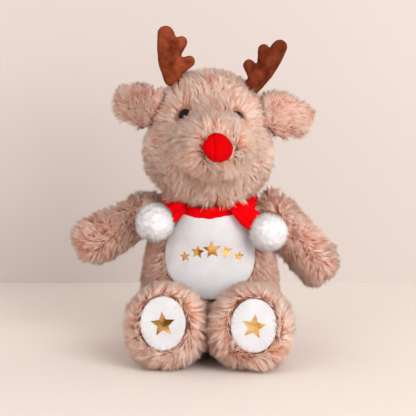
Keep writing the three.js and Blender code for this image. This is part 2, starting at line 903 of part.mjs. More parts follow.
function earAt(side) {
  const frame = earFrame(side);
  const form = {
    run: ear.run,
    girths: [
      [0, ear.rootHalfWidth, ear.halfThickness],
      ...scaled(ear.girthShares, ear.halfWidth, ear.halfThickness),
    ],
    rootCap: ear.halfThickness,
    tipCap: ear.tipRounding,
  };
  const { rootHalfWidth, halfThickness } = ear;
  const seat = seamOval(frame.position, frame.quaternion, rootHalfWidth, halfThickness, 0);
  const hinge = new THREE.Vector3(1, 0, 0).applyQuaternion(frame.quaternion);
  const passed = sweptBody(solid(headSkin(-2 * flexGap, facets.limb)), seat, frame, hinge, earFlapAngles);
  frame.add(piece("ear_" + side, cut(solid(stuffed(form)), ...passed), cloths.fur));
  return frame;
}

// Antlers: padded velour with a main beam and two tines, sewn on at the crown

function antlerFrame(side) {
  const lean = radians(antlerOutwardAngle[side]);
  const out = direction(sides[side] * Math.sin(lean), 0, Math.cos(lean));
  const skin = seatOn(headSurface, headMiddle, out);
  const tip = radians(antlerLeanAngle[side]);
  const along = direction(sides[side] * Math.sin(tip), 0, Math.cos(tip));
  const seam = skin.addScaledVector(out, antler.proud);
  const twist = new THREE.Quaternion().setFromAxisAngle(
    up,
    sides[side] * radians(antlerTwistAngle[side]),
  );
  return frameAt("antler_seam_" + side, seam, aimed(along, backward).multiply(twist));
}

function antlerSolid(side, inset) {
  const inwards = -sides[side];
  const curve = new THREE.SplineCurve(
    antler.bowShares.map(([up, out]) => new THREE.Vector2(up * antler.run, out * antler.run)),
  );
  const bow = (s) => {
    const share = THREE.MathUtils.clamp(s / antler.run, 0, 1);
    return -inwards * curve.getPoint(share).y;
  };
  const beam = stuffed(
    {
      run: antler.run,
      girths: [
        [0, antler.rootHalfWidth, antler.halfThickness],
        ...scaled(antler.girthShares, antler.halfWidth, antler.halfThickness),
        [1, antler.tipHalfWidth, antler.halfThickness * antler.tipThicknessShare],
      ],
      rootCap: antler.halfThickness,
      tipCap: antler.tipHalfWidth,
      around: facets.small,
      along: rings.small,
      capRings: rings.smallCap,
      bow,
    },
    inset,
  );
  const tines = antler.tineShares.map(([fromUp, fromIn, toUp, toIn]) => {
    const foot = new THREE.Vector3(inwards * fromIn, 0, fromUp).multiplyScalar(antler.run);
    const end = new THREE.Vector3(inwards * toIn, 0, toUp).multiplyScalar(antler.run);
    const tine = stuffed(
      {
        run: foot.distanceTo(end),
        girths: [
          [0, antler.tineRadius * antler.tineRootShare, antler.tineHalfThickness],
          [1, antler.tineRadius, antler.tineHalfThickness],
        ],
        rootCap: antler.tineRadius,
        tipCap: antler.tineRadius,
        around: facets.small,
        along: rings.tine,
        capRings: rings.smallCap,
      },
      inset,
    );
    return solid(placed(tine, foot, aimed(end.clone().sub(foot), backward)));
  });
  return tines.reduce((whole, tine) => whole.add(tine), solid(beam));
}

function antlerAt(side) {
  const frame = antlerFrame(side);
  const mouth = rod(antler.halfThickness * antler.mouthShare, antler.halfThickness * 2);
  mouth.translate(0, 0, -antler.halfThickness);
  const cover = cut(antlerSolid(side, 0), antlerSolid(side, antler.cover), solid(mouth));
  frame.add(piece("antler_" + side + "_cover", cover, cloths.brownVelour));
  const filling = antlerSolid(side, antler.cover + sewnGap);
  frame.add(piece("antler_" + side + "_stuffing", filling, cloths.filling));
  return frame;
}

// Scarf tails with their pompoms, which lift off the chest

function scarfTailAtSide(side) {
  const turn = radians(scarfTailAngle[side]);
  const polar = radians(scarf.polarAngle);
  const around = new THREE.Vector3(
    Math.sin(polar) * Math.sin(turn),
    -Math.sin(polar) * Math.cos(turn),
    Math.cos(polar),
  ).applyQuaternion(aimed(scarfAxis, backward));
  const reach = neck.radius + sewnGap + scarfTail.halfThickness;
  const root = neckMiddle.clone().addScaledVector(around, reach);
  const droop = radians(scarfTailDroopAngle[side]);
  const hang = direction(sides[side] * Math.cos(droop), 0, -Math.sin(droop));
  const flat = hang.addScaledVector(around, -hang.dot(around)).normalize();
  const length = scarfTailLength[side];
  // The pompom rests on the torso, so the tail leans out just far enough.
  const rest = neck.radius + pompom.radius + sewnGap;
  const along = root.clone().sub(neckMiddle).addScaledVector(flat, length).normalize();
  const middle = neckMiddle.clone().addScaledVector(along, rest);
  const aim = middle.clone().sub(root);
  const group = frameAt("scarf_knot_" + side, root, aimed(aim, around.clone().negate()));
  const ball = (clearance) => {
    const lumps = (angle, s) => 1 + pompom.ruffleShare * Math.sin(pompom.ruffles * angle + s);
    const size = pompom.radius + clearance;
    const round = {
      run: pompom.waistShare * size,
      girths: [
        [0, size, size],
        [1, size, size],
      ],
      rootCap: size,
      tipCap: size,
      along: 1,
      crease: clearance ? undefined : lumps,
    };
    return solid(stuffed(round).translate(0, 0, aim.length()));
  };
  const pleat = (angle) => {
    const depth = Math.cos(angle) ** 2 * Math.sin(scarfTail.pleats * angle) ** 2;
    return 1 - scarfTail.pleatShare * depth;
  };
  const strip = stuffed({
    run: aim.length(),
    girths: [
      [0, scarfTail.rootHalfWidth, scarfTail.halfThickness],
      ...scaled(scarfTail.girthShares, scarfTail.halfWidth, scarfTail.halfThickness),
    ],
    rootCap: scarfTail.halfThickness,
    tipCap: scarfTail.halfThickness,
    crease: pleat,
    around: facets.body,
    capRings: rings.smallCap,
  });
  group.add(piece("scarf_tail_" + side, cut(solid(strip), ball(sewnGap)), cloths.redFleece));
  group.add(piece("pompom_" + side, ball(0), cloths.whiteWool));
  return group;
}

// Stub tail at the back

function stubTailPiece() {
  const group = frameAt("tail_seam", stubSeat, stubAim);
  const form = {
    run: stubTail.run,
    girths: [
      [0, stubTail.rootHalfWidth, stubTail.halfThickness],
      ...scaled(stubTail.girthShares, stubTail.halfWidth, stubTail.halfThickness),
    ],
    rootCap: stubTail.halfThickness,
    tipCap: stubTail.tipRounding,
    around: facets.small,
    along: rings.small,
    capRings: rings.smallCap,
  };
  group.add(piece("tail_plush", solid(stuffed(form)), cloths.fur));
  return group;
}

// The whole toy

const deer = new THREE.Group();
deer.name = "plush_deer";
deer.add(...torsoPieces(), neckPlug(), stubTailPiece());

const headGroup = frameAt(
  "neck",
  neckMiddle,
  new THREE.Quaternion().setFromEuler(new THREE.Euler(0, radians(headRollAngle), radians(headTurnAngle))),
);
headGroup.add(...headPieces());
deer.add(headGroup);

for (const side of Object.keys(sides)) {
  deer.add(armAt(side), legAt(side), scarfTailAtSide(side));
  headGroup.add(earAt(side), antlerAt(side));
}

export default deer;
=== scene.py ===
# %% [markdown]
# # Dressing a plush deer
# The CAD part gives every piece its place and its rough padded form. This
# lesson puts the cloth on it: long curly plush, velour panels, a fleece scarf,
# wool pompoms and glossy bead eyes. Lengths are in metres, so MM turns the
# millimetres that a toy maker thinks in into Blender's unit.
#
# The imported model is loaded first. The dressed toy has to stay close to it.
# The toy looks along -y, and left and right are the viewer's.

# %% Load the imported model
import math
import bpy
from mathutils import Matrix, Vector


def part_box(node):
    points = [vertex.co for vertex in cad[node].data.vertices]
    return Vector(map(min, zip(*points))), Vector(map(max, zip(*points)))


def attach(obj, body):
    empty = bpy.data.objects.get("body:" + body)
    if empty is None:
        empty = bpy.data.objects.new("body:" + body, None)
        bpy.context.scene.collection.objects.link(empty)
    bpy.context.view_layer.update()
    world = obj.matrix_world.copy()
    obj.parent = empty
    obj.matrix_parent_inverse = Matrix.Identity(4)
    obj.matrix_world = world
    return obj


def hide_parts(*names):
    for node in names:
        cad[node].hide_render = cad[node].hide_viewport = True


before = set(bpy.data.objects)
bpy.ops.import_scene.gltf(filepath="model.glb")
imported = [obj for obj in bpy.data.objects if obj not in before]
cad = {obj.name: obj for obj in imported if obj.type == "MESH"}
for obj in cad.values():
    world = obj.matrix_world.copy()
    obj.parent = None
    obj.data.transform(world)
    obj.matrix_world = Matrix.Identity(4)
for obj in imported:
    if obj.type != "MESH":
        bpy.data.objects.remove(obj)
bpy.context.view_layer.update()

from types import SimpleNamespace

import bmesh
import bpy
import numpy as np
from mathutils import Vector
from mathutils.bvhtree import BVHTree
from mathutils.kdtree import KDTree

MM = 0.001
FRONT = Vector((0, -1, 0))
SIDES = ("left", "right")

# %% [markdown]
# ## The camera
# The photograph was taken from a little above, with a long lens: the two feet
# show almost the same size as the ears, so the camera stands far off. Ten
# degrees of tilt makes the table edge fall where the picture has it.


# %% Make the camera
def linked(name, data):
    """A new object that holds a mesh, a lamp or a camera, put in the scene."""
    made = bpy.data.objects.new(name, data)
    bpy.context.scene.collection.objects.link(made)
    return made


aim = Vector((-1.56, 0.0, 108.5)) * MM
distance = 1.5
tilt = math.radians(10.0)
camera = linked("camera", bpy.data.cameras.new("camera"))
camera.data.sensor_width = 36.0
camera.data.lens = 166.4
camera.data.clip_end = 20.0
camera.location = aim + Vector((0, -math.cos(tilt), math.sin(tilt))) * distance
camera.rotation_euler = (math.pi / 2 - tilt, 0, 0)
bpy.context.scene.camera = camera
print("camera at", [round(c, 3) for c in camera.location])

# %% [markdown]
# ## Helpers for colour and shader nodes
# Colours are written as they are read off a screen, from 0 to 255, and turned
# into the linear values that a shader wants. A finish is one Principled shader,
# and a small helper joins nodes so that each material stays a few lines long.


# %% Colour and node helpers
def paint(red, green, blue):
    """A screen colour as linear red, green, blue and alpha, by the sRGB curve."""
    out = []
    for c in (red, green, blue):
        c = c / 255
        out.append(c / 12.92 if c <= 0.04045 else ((c + 0.055) / 1.055) ** 2.4)
    return (*out, 1.0)


def finish_named(name, roughness=0.9, **sockets):
    """A new material with one Principled shader, its even values set on it."""
    made = bpy.data.materials.new(name)
    made.use_nodes = True
    shader = made.node_tree.nodes["Principled BSDF"]
    shader.inputs["Roughness"].default_value = roughness
    for socket, value in sockets.items():
        shader.inputs[socket.replace("_", " ")].default_value = value
    return made, made.node_tree, shader


def node(tree, kind, settings=None, **inputs):
    """One shader node. Inputs go by their names, or as i0, i1 by their numbers,
    and each is a value or another node's socket."""
    made = tree.nodes.new(kind)
    for key, value in (settings or {}).items():
        setattr(made, key, value)
    for key, value in inputs.items():
        socket = made.inputs[int(key[1:]) if key[0] == "i" and key[1:].isdigit()
                             else key.replace("_", " ")]
        if isinstance(value, bpy.types.NodeSocket):
            tree.links.new(value, socket)
        else:
            socket.default_value = value
    return made


def ramp(tree, factor, *stops):
    """A colour ramp: stops are (place, colour)."""
    made = node(tree, "ShaderNodeValToRGB", Fac=factor)
    band = made.color_ramp
    while len(band.elements) < len(stops):
        band.elements.new(0.5)
    for element, (place, colour) in zip(band.elements, stops):
        element.position, element.color = place, colour
    return made.outputs["Color"]


def coloured(tree, shader, factor, *stops):
    """Gives the shader its colour through a ramp."""
    tree.links.new(ramp(tree, factor, *stops), shader.inputs["Base Color"])


def bump(tree, shader, height, distance, strength=1.0):
    """Joins a bump of this many metres to the shader."""
    made = node(tree, "ShaderNodeBump", Height=height, Strength=strength,
                Distance=distance)
    tree.links.new(made.outputs["Normal"], shader.inputs["Normal"])


def multiplied(tree, one, other):
    """Two colours, each a socket, multiplied."""
    made = node(tree, "ShaderNodeMix",
                {"data_type": "RGBA", "blend_type": "MULTIPLY"}, i0=1.0, i6=one,
                i7=other)
    return made.outputs[2]


def added(tree, fast, share, slow):
    """A share of a fast noise, added to a slow one."""
    return node(tree, "ShaderNodeMath", {"operation": "MULTIPLY_ADD"}, i0=fast,
                i1=share, i2=slow).outputs[0]


def grain(tree, scale, detail=3.0):
    """A noise of this scale over the object's own coordinates."""
    where = node(tree, "ShaderNodeTexCoord").outputs["Object"]
    return node(tree, "ShaderNodeTexNoise", Vector=where, Scale=scale,
                Detail=detail).outputs["Fac"]


# %% [markdown]
# ## The table and the wall
# The toy sits on a pale table in front of a pale wall, on which a blurred
# shadow lies. The wall shows one side only, as a stage set does, so that the
# toy can also be looked at from behind.


# %% Build the stage
def object_from(shell, name):
    """A new object from a bmesh, which is then freed."""
    mesh = bpy.data.meshes.new(name)
    shell.to_mesh(mesh)
    shell.free()
    return linked(name, mesh)


def flat_sheet(name, across, deep, to_world):
    """A stage plane of this size, moved to its place in its mesh."""
    sheet = bmesh.new()
    bmesh.ops.create_grid(sheet, x_segments=2, y_segments=2, size=0.5)
    bmesh.ops.scale(sheet, vec=(across, deep, 1), verts=sheet.verts)
    for vert in sheet.verts:
        vert.co = to_world(vert.co)
    made = object_from(sheet, name)
    return made


stage_width, table_depth, wall_height = 6.0, 4.0, 3.0
table_edge = 0.225
table = flat_sheet("table", stage_width, table_depth, lambda at: Vector(
    (at.x, at.y + table_edge - table_depth / 2, 0)))
wall = flat_sheet("wall", stage_width, wall_height, lambda at: Vector(
    (at.x, table_edge, at.y + wall_height / 2)))

table_finish, tree, shader = finish_named("pale_table", 0.85)
coloured(tree, shader, grain(tree, 900.0, 2.0), (0.3, paint(235, 226, 220)),
         (0.7, paint(244, 236, 230)))
table.data.materials.append(table_finish)

wall_finish, tree, shader = finish_named("pale_wall", 0.95)
shader.inputs["Base Color"].default_value = paint(217, 208, 203)
behind = node(tree, "ShaderNodeNewGeometry").outputs["Backfacing"]
one_sided = node(tree, "ShaderNodeMixShader", Fac=behind,
                 i1=shader.outputs["BSDF"],
                 i2=node(tree, "ShaderNodeBsdfTransparent").outputs["BSDF"])
tree.links.new(one_sided.outputs["Shader"],
               tree.nodes["Material Output"].inputs["Surface"])
wall.data.materials.append(wall_finish)

# %% [markdown]
# ## The light
# One large soft lamp stands right of the camera, as a window would, so the left
# side of the toy falls into a soft shade. A weak lamp on the left and a pale
# sky stand for the light that the rest of the room sends back.


# %% Hang the lamps
def lamp(name, place, towards, size, watts, colour):
    """A square soft lamp that looks at a point."""
    made = linked(name, bpy.data.lights.new(name, "AREA"))
    made.data.size = size
    made.data.energy = watts
    made.data.color = colour
    made.location = place
    made.rotation_euler = (Vector(towards) - Vector(place)).to_track_quat(
        "-Z", "Y").to_euler()


toy_middle = (0, 0, 0.11)
lamp("window", (1.1, -1.65, 0.95), toy_middle, 1.3, 30.5, (1.0, 0.99, 0.98))
lamp("room", (-1.1, -1.3, 0.9), toy_middle, 1.2, 4.0, (1.0, 0.99, 0.985))
world = bpy.data.worlds.new("soft_room")
world.use_nodes = True
sky = world.node_tree.nodes["Background"]
sky.inputs["Color"].default_value = paint(250, 247, 244)
sky.inputs["Strength"].default_value = 0.69
bpy.context.scene.world = world
bpy.context.scene.cycles.diffuse_bounces = 8
bpy.context.scene.view_settings.view_transform = "Standard"

# %% [markdown]
# ## Skins
# A plush toy is a cloth skin, drawn tight over filling. The CAD solid's
# surface is where the tips of the pile end, so the skin itself lies a few
# millimetres deeper. A copy of the solid is remeshed into even little cells,
# smoothed, and drawn in along its own normals: modifiers do all of it, and the
# result is kept as a plain mesh.


# %% Make a padded skin from a CAD solid
def baked(thing):
    """The object with its modifiers applied."""
    bpy.context.view_layer.update()
    seen = thing.evaluated_get(bpy.context.evaluated_depsgraph_get())
    mesh = bpy.data.meshes.new_from_object(seen)
    thing.modifiers.clear()
    old, thing.data = thing.data, mesh
    mesh.name = thing.name
    bpy.data.meshes.remove(old)
    return thing


def outer_only(thing):
    """Keeps the largest closed surface of a remeshed piece, its outside."""
    shell = bmesh.new()
    shell.from_mesh(thing.data)
    waiting, parts = set(shell.verts), []
    while waiting:
        part, border = set(), [waiting.pop()]
        while border:
            vert = border.pop()
            part.add(vert)
            for link in vert.link_edges:
                other = link.other_vert(vert)
                if other in waiting:
                    waiting.remove(other)
                    border.append(other)
        parts.append(part)
    parts.sort(key=len)
    for part in parts[:-1]:
        bmesh.ops.delete(shell, geom=list(part), context="VERTS")
    shell.to_mesh(thing.data)
    shell.free()
    return thing


def skin_from(name, sources, inset, voxel=2.0, rounds=8):
    """A closed skin, this many millimetres under the surface of solids."""
    shell = bmesh.new()
    for source in sources:
        shell.from_mesh(cad[source].data)
    bmesh.ops.remove_doubles(shell, verts=shell.verts, dist=0.01 * MM)
    made = object_from(shell, name)
    cells = made.modifiers.new("cells", "REMESH")
    cells.mode = "VOXEL"
    cells.voxel_size = voxel * MM
    cells.use_smooth_shade = True
    # A deep skin is drawn in bit by bit, and smoothed before each step, so that
    # its faces don't fold over each other.
    steps = 3 if inset > 1.5 else 1
    for _ in range(steps):
        even = made.modifiers.new("even", "SMOOTH")
        even.factor, even.iterations = 0.5, max(1, rounds // steps)
        if inset:
            drawn = made.modifiers.new("drawn_in", "DISPLACE")
            drawn.mid_level = 0.0
            drawn.strength = -inset * MM / steps
    return outer_only(baked(made))


# %% Read and move a mesh's points
def coords(mesh, what="co"):
    """A mesh's vertex places, or their normals, as an array."""
    out = np.empty(len(mesh.vertices) * 3)
    mesh.vertices.foreach_get(what, out)
    return out.reshape(-1, 3)


def put(thing, places):
    """Puts an object's vertices in new places."""
    thing.data.vertices.foreach_set("co", places.reshape(-1))
    thing.data.update()


def pushed(thing, move):
    """Moves points along their normals: move(points, normals) says how far."""
    points, normals = coords(thing.data), coords(thing.data, "normal")
    put(thing, points + normals * move(points, normals)[:, None] * MM)


def tree_of(thing):
    """A search tree over one object's faces, for rays and nearest points."""
    mesh = thing.data
    return BVHTree.FromPolygons([v.co for v in mesh.vertices],
                                [p.vertices for p in mesh.polygons])


def centre_of(name):
    """The middle of a solid's box."""
    low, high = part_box(name)
    return np.array((low + high) / 2)


# %% [markdown]
# ## One yarn
# The pile is thousands of closed little spikes, as the exported model keeps
# only meshes. One yarn is made with a bmesh cone, and numbers stamp it over the
# skin. It has three sides and a base, which is as few faces as a closed spike
# can have.

# %% Make one yarn
yarn = bmesh.new()
bmesh.ops.create_cone(yarn, cap_ends=True, segments=3, radius1=1.0, radius2=0.0,
                      depth=1.0)
bmesh.ops.remove_doubles(yarn, verts=yarn.verts, dist=1e-4)
bmesh.ops.triangulate(yarn, faces=yarn.faces[:])
yarn.verts.ensure_lookup_table()
yarn_points = np.array([v.co[:] for v in yarn.verts])
yarn_faces = np.array([[v.index for v in f.verts] for f in yarn.faces])
yarn.free()
at_tip = yarn_points[:, 2] > 0
corner_angle = np.arctan2(yarn_points[:, 1], yarn_points[:, 0])
corner_angle += math.pi / 2 - corner_angle[~at_tip][0]
print("yarn:", len(yarn_points), "points,", len(yarn_faces), "faces")

# %% [markdown]
# ## Sowing the roots
# Roots are scattered evenly by area, so that no seam or grid shows in the pile.
# None is kept under a panel or a scarf, which would let yarns poke through the
# cloth. A ray along the normal finds what covers a root.


# %% Scatter the roots
def unit(vectors):
    """Vectors made one long."""
    size = np.linalg.norm(vectors, axis=1, keepdims=True)
    return vectors / np.maximum(size, 1e-9)


def drift(points, size, seed, waves=5):
    """Smooth random vectors that change over about this many millimetres."""
    dice = np.random.default_rng(seed)
    turns = dice.normal(size=(3, waves, 3)) / (size * MM)
    starts = dice.uniform(0, math.tau, (3, waves))
    return np.stack([np.sin(points @ turns[k].T + starts[k]).sum(1)
                     for k in range(3)], 1) / waves ** 0.5


def scattered(thing, per_mm2, seed):
    """Random places on an object's surface, with their normals."""
    mesh = thing.data
    mesh.calc_loop_triangles()
    corners = np.empty(len(mesh.loop_triangles) * 3, int)
    mesh.loop_triangles.foreach_get("vertices", corners)
    corners = corners.reshape(-1, 3)
    places, normals = coords(mesh), coords(mesh, "normal")
    first, second, third = (places[corners[:, k]] for k in range(3))
    areas = np.linalg.norm(np.cross(second - first, third - first), axis=1) / 2
    dice = np.random.default_rng(seed)
    count = int(areas.sum() / MM ** 2 * per_mm2)
    chosen = dice.choice(len(areas), count, p=areas / areas.sum())
    u, v = dice.uniform(size=(2, count, 1))
    over = (u + v) > 1
    u, v = np.where(over, 1 - u, u), np.where(over, 1 - v, v)

    def inside(values):
        one, two, three = (values[corners[chosen, k]] for k in range(3))
        return one + u * (two - one) + v * (three - one)

    return inside(places), unit(inside(normals))


def uncovered(points, normals, covers, reach):
    """Which places have no cover within this many millimetres over them."""
    free = np.ones(len(points), bool)
    under = 1.5
    for cover in [tree_of(c) for c in covers]:
        for k in np.flatnonzero(free):
            start = Vector(points[k]) - Vector(normals[k]) * under * MM
            if cover.ray_cast(start, Vector(normals[k]), (reach + under) * MM)[0]:
                free[k] = False
    return free


def nearest(places, guides):
    """For each place, the number of the nearest guide."""
    finder = KDTree(len(guides))
    for k, place in enumerate(guides.tolist()):
        finder.insert(place, k)
    finder.balance()
    return np.array([finder.find(p)[1] for p in places.tolist()])


def rooted(skin, pile):
    """The roots that a pile keeps, with their normals."""
    points, normals = scattered(skin, pile.per_mm2, pile.seed)
    if pile.keep:
        chosen = pile.keep(points, normals)
        points, normals = points[chosen], normals[chosen]
    if pile.covers:
        chosen = uncovered(points, normals, pile.covers, pile.reach)
        points, normals = points[chosen], normals[chosen]
    return points, normals


# %% [markdown]
# ## Combing
# Real plush falls into fine locks, and the locks into tufts: neighbouring yarns
# lean towards the same point and leave dark partings between them. So the skin
# gets guides, some millimetres apart for tufts and closer for locks, and each
# yarn's tip is drawn towards the tip of its guide. Every pile starts from one
# usual way, and says only where it differs.

# %% Say what a usual pile is like
USUAL_PILE = {
    "density": 1.0,     # how close the yarns stand, one being the plush's own
    "covers": (),       # pieces of cloth that lie over the skin
    "reach": 5.0,       # how far over the skin they are looked for, in mm
    "keep": None,       # keep(points, normals) says which roots stay
    "shape": lambda points: np.ones((2, len(points), 1)),  # of length and lean
    "tuft": 7.0,        # mm between tufts
    "lock": 1.45,       # mm between locks
    "tuft_pull": 0.3,   # how far a lock's tip is drawn to its tuft's
    "lock_pull": 0.68,  # how far a yarn's tip is drawn to its lock's
    "width": 0.28,      # mm that a yarn is thick, out from its middle
    "ruffle": 1.0,      # how far the pile wanders from its combed way
    "soft": 0.35,       # how evenly a yarn is lit across
}
TRIAL_YARNS, ALL_YARNS = 1.6, 3.4          # on each square millimetre
WHIRL = 7.0                                # mm over which the ways wander
LEAN_SPREAD = 10                           # degrees
TUFT_STRAY, LOCK_STRAY, YARN_STRAY = 0.8, 1.0, 0.5
TUFT_TONES, LOCK_TONES, YARN_TONES = 0.14, 0.32, 0.08
GUIDE_GROUND = 0.87    # of the spacing squared, as guides fill a honeycomb
FLOOR = 0.35           # mm over the table, where the pile is pressed flat
SUNK = 0.5             # mm that a yarn starts under the skin
MOST_FACES = 190000    # in one object


# %% Comb the tips
def varied(dice, least, spread, count):
    """Random shares from least to least plus spread, one for each yarn."""
    return least + spread * dice.uniform(size=(count, 1))


def leaning(points, normals, pile, stray, eased, dice):
    """The ways that yarns point: combed, ruffled and leaned over."""
    way = pile.comb(points, normals) + pile.ruffle * drift(points, WHIRL, pile.seed)
    way = way + stray * dice.normal(size=points.shape)
    way = unit(way - (way * normals).sum(1, keepdims=True) * normals)
    angle = np.radians(pile.lean * eased
                       + dice.normal(size=(len(points), 1)) * LEAN_SPREAD)
    return unit(normals * np.cos(angle) + way * np.sin(angle))


def combed(points, normals, pile, dice):
    """Each yarn's tip, and the tone of the lock that it falls in."""
    count = len(points)
    long_share, lean_share = pile.shape(points)

    def guides(spacing, stray):
        ground = spacing * spacing * GUIDE_GROUND
        chosen = dice.permutation(count)[:max(1, int(count / pile.per_mm2 / ground))]
        root, out = points[chosen], normals[chosen]
        far = pile.length * MM * varied(dice, 0.85, 0.3, len(root))
        way = leaning(root, out, pile, stray, lean_share[chosen], dice)
        return root, root + way * far * long_share[chosen]

    tuft_root, tuft_tip = guides(pile.tuft, TUFT_STRAY)
    lock_root, lock_tip = guides(pile.lock, LOCK_STRAY)
    tuft_of = nearest(lock_root, tuft_root)
    lock_tip = lock_tip + (tuft_tip[tuft_of] - lock_tip) * pile.tuft_pull
    lock_tone = (dice.normal(size=len(tuft_root)) * TUFT_TONES)[tuft_of] + (
        dice.normal(size=len(lock_root)) * LOCK_TONES)
    own = nearest(points, lock_root)
    long = pile.length * MM * varied(dice, 0.68, 0.44, count) * long_share
    tip = points + leaning(points, normals, pile, YARN_STRAY, lean_share, dice) * long
    draw = pile.lock_pull * varied(dice, 0.6, 0.6, count)
    tip = tip + (lock_tip[own] - tip) * draw
    tip[:, 2] = np.maximum(tip[:, 2], FLOOR * MM)
    return tip, lock_tone[own]


# %% [markdown]
# ## Stamping
# Each yarn is a thin cone from under the skin to its tip, and one of its three
# sides faces outwards. Its shading normals lean the way that the skin faces, so
# that it catches the light as a soft fibre does.
#
# A palette map carries the colour: across it runs the tone of a tuft, up it
# runs the way from root to tip. A yarn's corners lie a little apart on it, so
# that every face has some ground there.


# %% Stamp the yarns
def coned(points, normals, tips, pile, dice):
    """Every yarn's corners, and the normals that they are shaded with."""
    count = len(points)
    ahead = unit(tips - points)
    side = unit(np.cross(ahead, normals + 0.01))
    other = np.cross(ahead, side)
    thick = pile.width * MM * varied(dice, 0.75, 0.5, count)
    spin = dice.normal(size=(count, 1)) * 0.3
    facing = unit(normals - 0.6 * (normals * ahead).sum(1, keepdims=True) * ahead)
    places = np.empty((count, len(at_tip), 3))
    shading = np.empty_like(places)
    for k, (end, angle) in enumerate(zip(at_tip, corner_angle)):
        if end:
            places[:, k] = tips
            shading[:, k] = unit(facing * 0.6 + ahead * 0.5)
        else:
            outward = np.cos(angle + spin) * side + np.sin(angle + spin) * other
            places[:, k] = points - normals * SUNK * MM + thick * outward
            shading[:, k] = unit(facing * pile.soft + outward * (1 - pile.soft))
    places[:, :, 2] = np.maximum(places[:, :, 2], FLOOR * 0.5 * MM)
    return places, shading


def on_palette(tones, apart=0.012):
    """Where yarns' corners lie on the palette, across and upward."""
    tones = np.clip(tones, 0.04, 0.96)
    across = tones[:, None] + np.cos(corner_angle)[None, :] * apart
    upward = np.tile(np.where(at_tip, 0.97, 0.03 + np.sin(corner_angle) * apart),
                     (len(tones), 1))
    return across, upward


def stamped(name, places, across, upward, shading):
    """One mesh of many spikes, with the palette map on its faces."""
    count, size = places.shape[:2]
    faces = (np.arange(count)[:, None, None] * size + yarn_faces).reshape(-1)
    mesh = bpy.data.meshes.new(name)
    mesh.vertices.add(count * size)
    mesh.vertices.foreach_set("co", places.reshape(-1))
    mesh.loops.add(len(faces))
    mesh.loops.foreach_set("vertex_index", faces)
    mesh.polygons.add(len(faces) // 3)
    mesh.polygons.foreach_set("loop_start", np.arange(0, len(faces), 3))
    mesh.polygons.foreach_set("use_smooth", np.ones(len(faces) // 3, bool))
    mesh.update(calc_edges=True)
    palette = mesh.uv_layers.new(name="OFBake")
    uv = np.stack([across.reshape(-1)[faces], upward.reshape(-1)[faces]], 1)
    palette.data.foreach_set("uv", uv.reshape(-1))
    mesh.normals_split_custom_set_from_vertices(shading.reshape(-1, 3).tolist())
    return linked(name, mesh)


plush_faces = []


def grow(name, body, skin, finish, slot, length, lean, comb, seed, **changes):
    """Plush on a skin, this many millimetres long, leaned over this many
    degrees. comb(points, normals) gives the way that it lies."""
    pile = SimpleNamespace(length=length, lean=lean, comb=comb, seed=seed,
                           **{**USUAL_PILE, **changes})
    pile.per_mm2 = ALL_YARNS * pile.density
    points, normals = rooted(skin, pile)
    dice = np.random.default_rng(seed + 100)
    tips, lock_tones = combed(points, normals, pile, dice)
    places, shading = coned(points, normals, tips, pile, dice)
    count = len(points)
    across, upward = on_palette(
        0.5 + lock_tones + dice.normal(size=count) * YARN_TONES)
    parts = int(np.ceil(count * len(yarn_faces) / MOST_FACES))
    order = np.argsort(points[:, 0])
    for k, chosen in enumerate(np.array_split(order, parts)):
        part = stamped(name if parts == 1 else f"{name}_{k + 1}", places[chosen],
                       across[chosen], upward[chosen], shading[chosen])
        part.data.materials.append(finish)
        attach(part, body)
    plush_faces.append(count * len(yarn_faces))
    print(f"{name}: {count} yarns, {plush_faces[-1]} faces, {parts} parts")


# %% [markdown]
# ## Fur finishes
# The plush is dyed a warm fawn, and whole tufts differ a little. Its roots are
# darker than its tips, partly by the dye and partly as painted shade down among
# the yarns. It is mixed twice, as a lit and a shaded copy: the lighter one for
# the head, the tail and the legs, the darker one, painted shade, for the body,
# the arms and the ears. The cloth under it has the roots' colour.


# %% Mix the plush finishes
def yarn_finish(name, root, middle, tip, shade, sheen=0.1, gloss=0.5):
    """A pile whose colour runs from dark roots, partly painted shade, to pale tips,
    with darker tufts.
    """
    made, tree, shader = finish_named(name, 0.5, Sheen_Weight=sheen,
                                      Sheen_Roughness=0.5, Sheen_Tint=middle,
                                      Specular_IOR_Level=gloss)
    palette = node(tree, "ShaderNodeUVMap", {"uv_map": "OFBake"}).outputs["UV"]
    apart = node(tree, "ShaderNodeSeparateXYZ", Vector=palette)
    # The roots' darker colour is partly the dye and partly painted shade among the
    # yarns.
    length = ramp(tree, apart.outputs["Y"], (0.0, root), (0.4, middle),
                  (0.8, tip))
    tone = ramp(tree, apart.outputs["X"], (0.1, shade), (0.75, (1, 1, 1, 1)))
    tree.links.new(multiplied(tree, length, tone), shader.inputs["Base Color"])
    return made


# The lighter, lit copy of the fawn plush.
fawn = yarn_finish("fawn_plush", root=paint(184, 126, 103),
                   middle=paint(254, 223, 207), tip=paint(255, 232, 218),
                   shade=paint(238, 198, 179))
# The darker copy of the same plush: painted shade.
fawn_painted_shade = yarn_finish("fawn_plush_painted_shade", root=paint(168, 112, 91),
                         middle=paint(246, 205, 188), tip=paint(248, 218, 202),
                         shade=paint(226, 181, 162))
white_wool = yarn_finish("white_wool", root=paint(250, 248, 250),
                         middle=paint(254, 253, 254), tip=paint(255, 255, 255),
                         shade=paint(250, 249, 250), sheen=0.0, gloss=0.05)
# The backing has the roots' dark colour, partly painted shade deep under the pile.
backing, tree, shader = finish_named("plush_backing", 0.95)
knit = grain(tree, 700.0, 2.0)
coloured(tree, shader, knit, (0.3, paint(156, 102, 80)),
         (0.7, paint(184, 128, 105)))
bump(tree, shader, knit, 0.3 * MM)
print("yarn finishes:", fawn.name, fawn_painted_shade.name, white_wool.name)

# %% [markdown]
# ## Velour and fleece
# Panels, soles, nose, scarf and antlers are short pile cloth. Close up it is a
# fine nap that catches light unevenly where a hand has brushed it, so a slow
# noise shifts the colour and a fast one raises the nap.


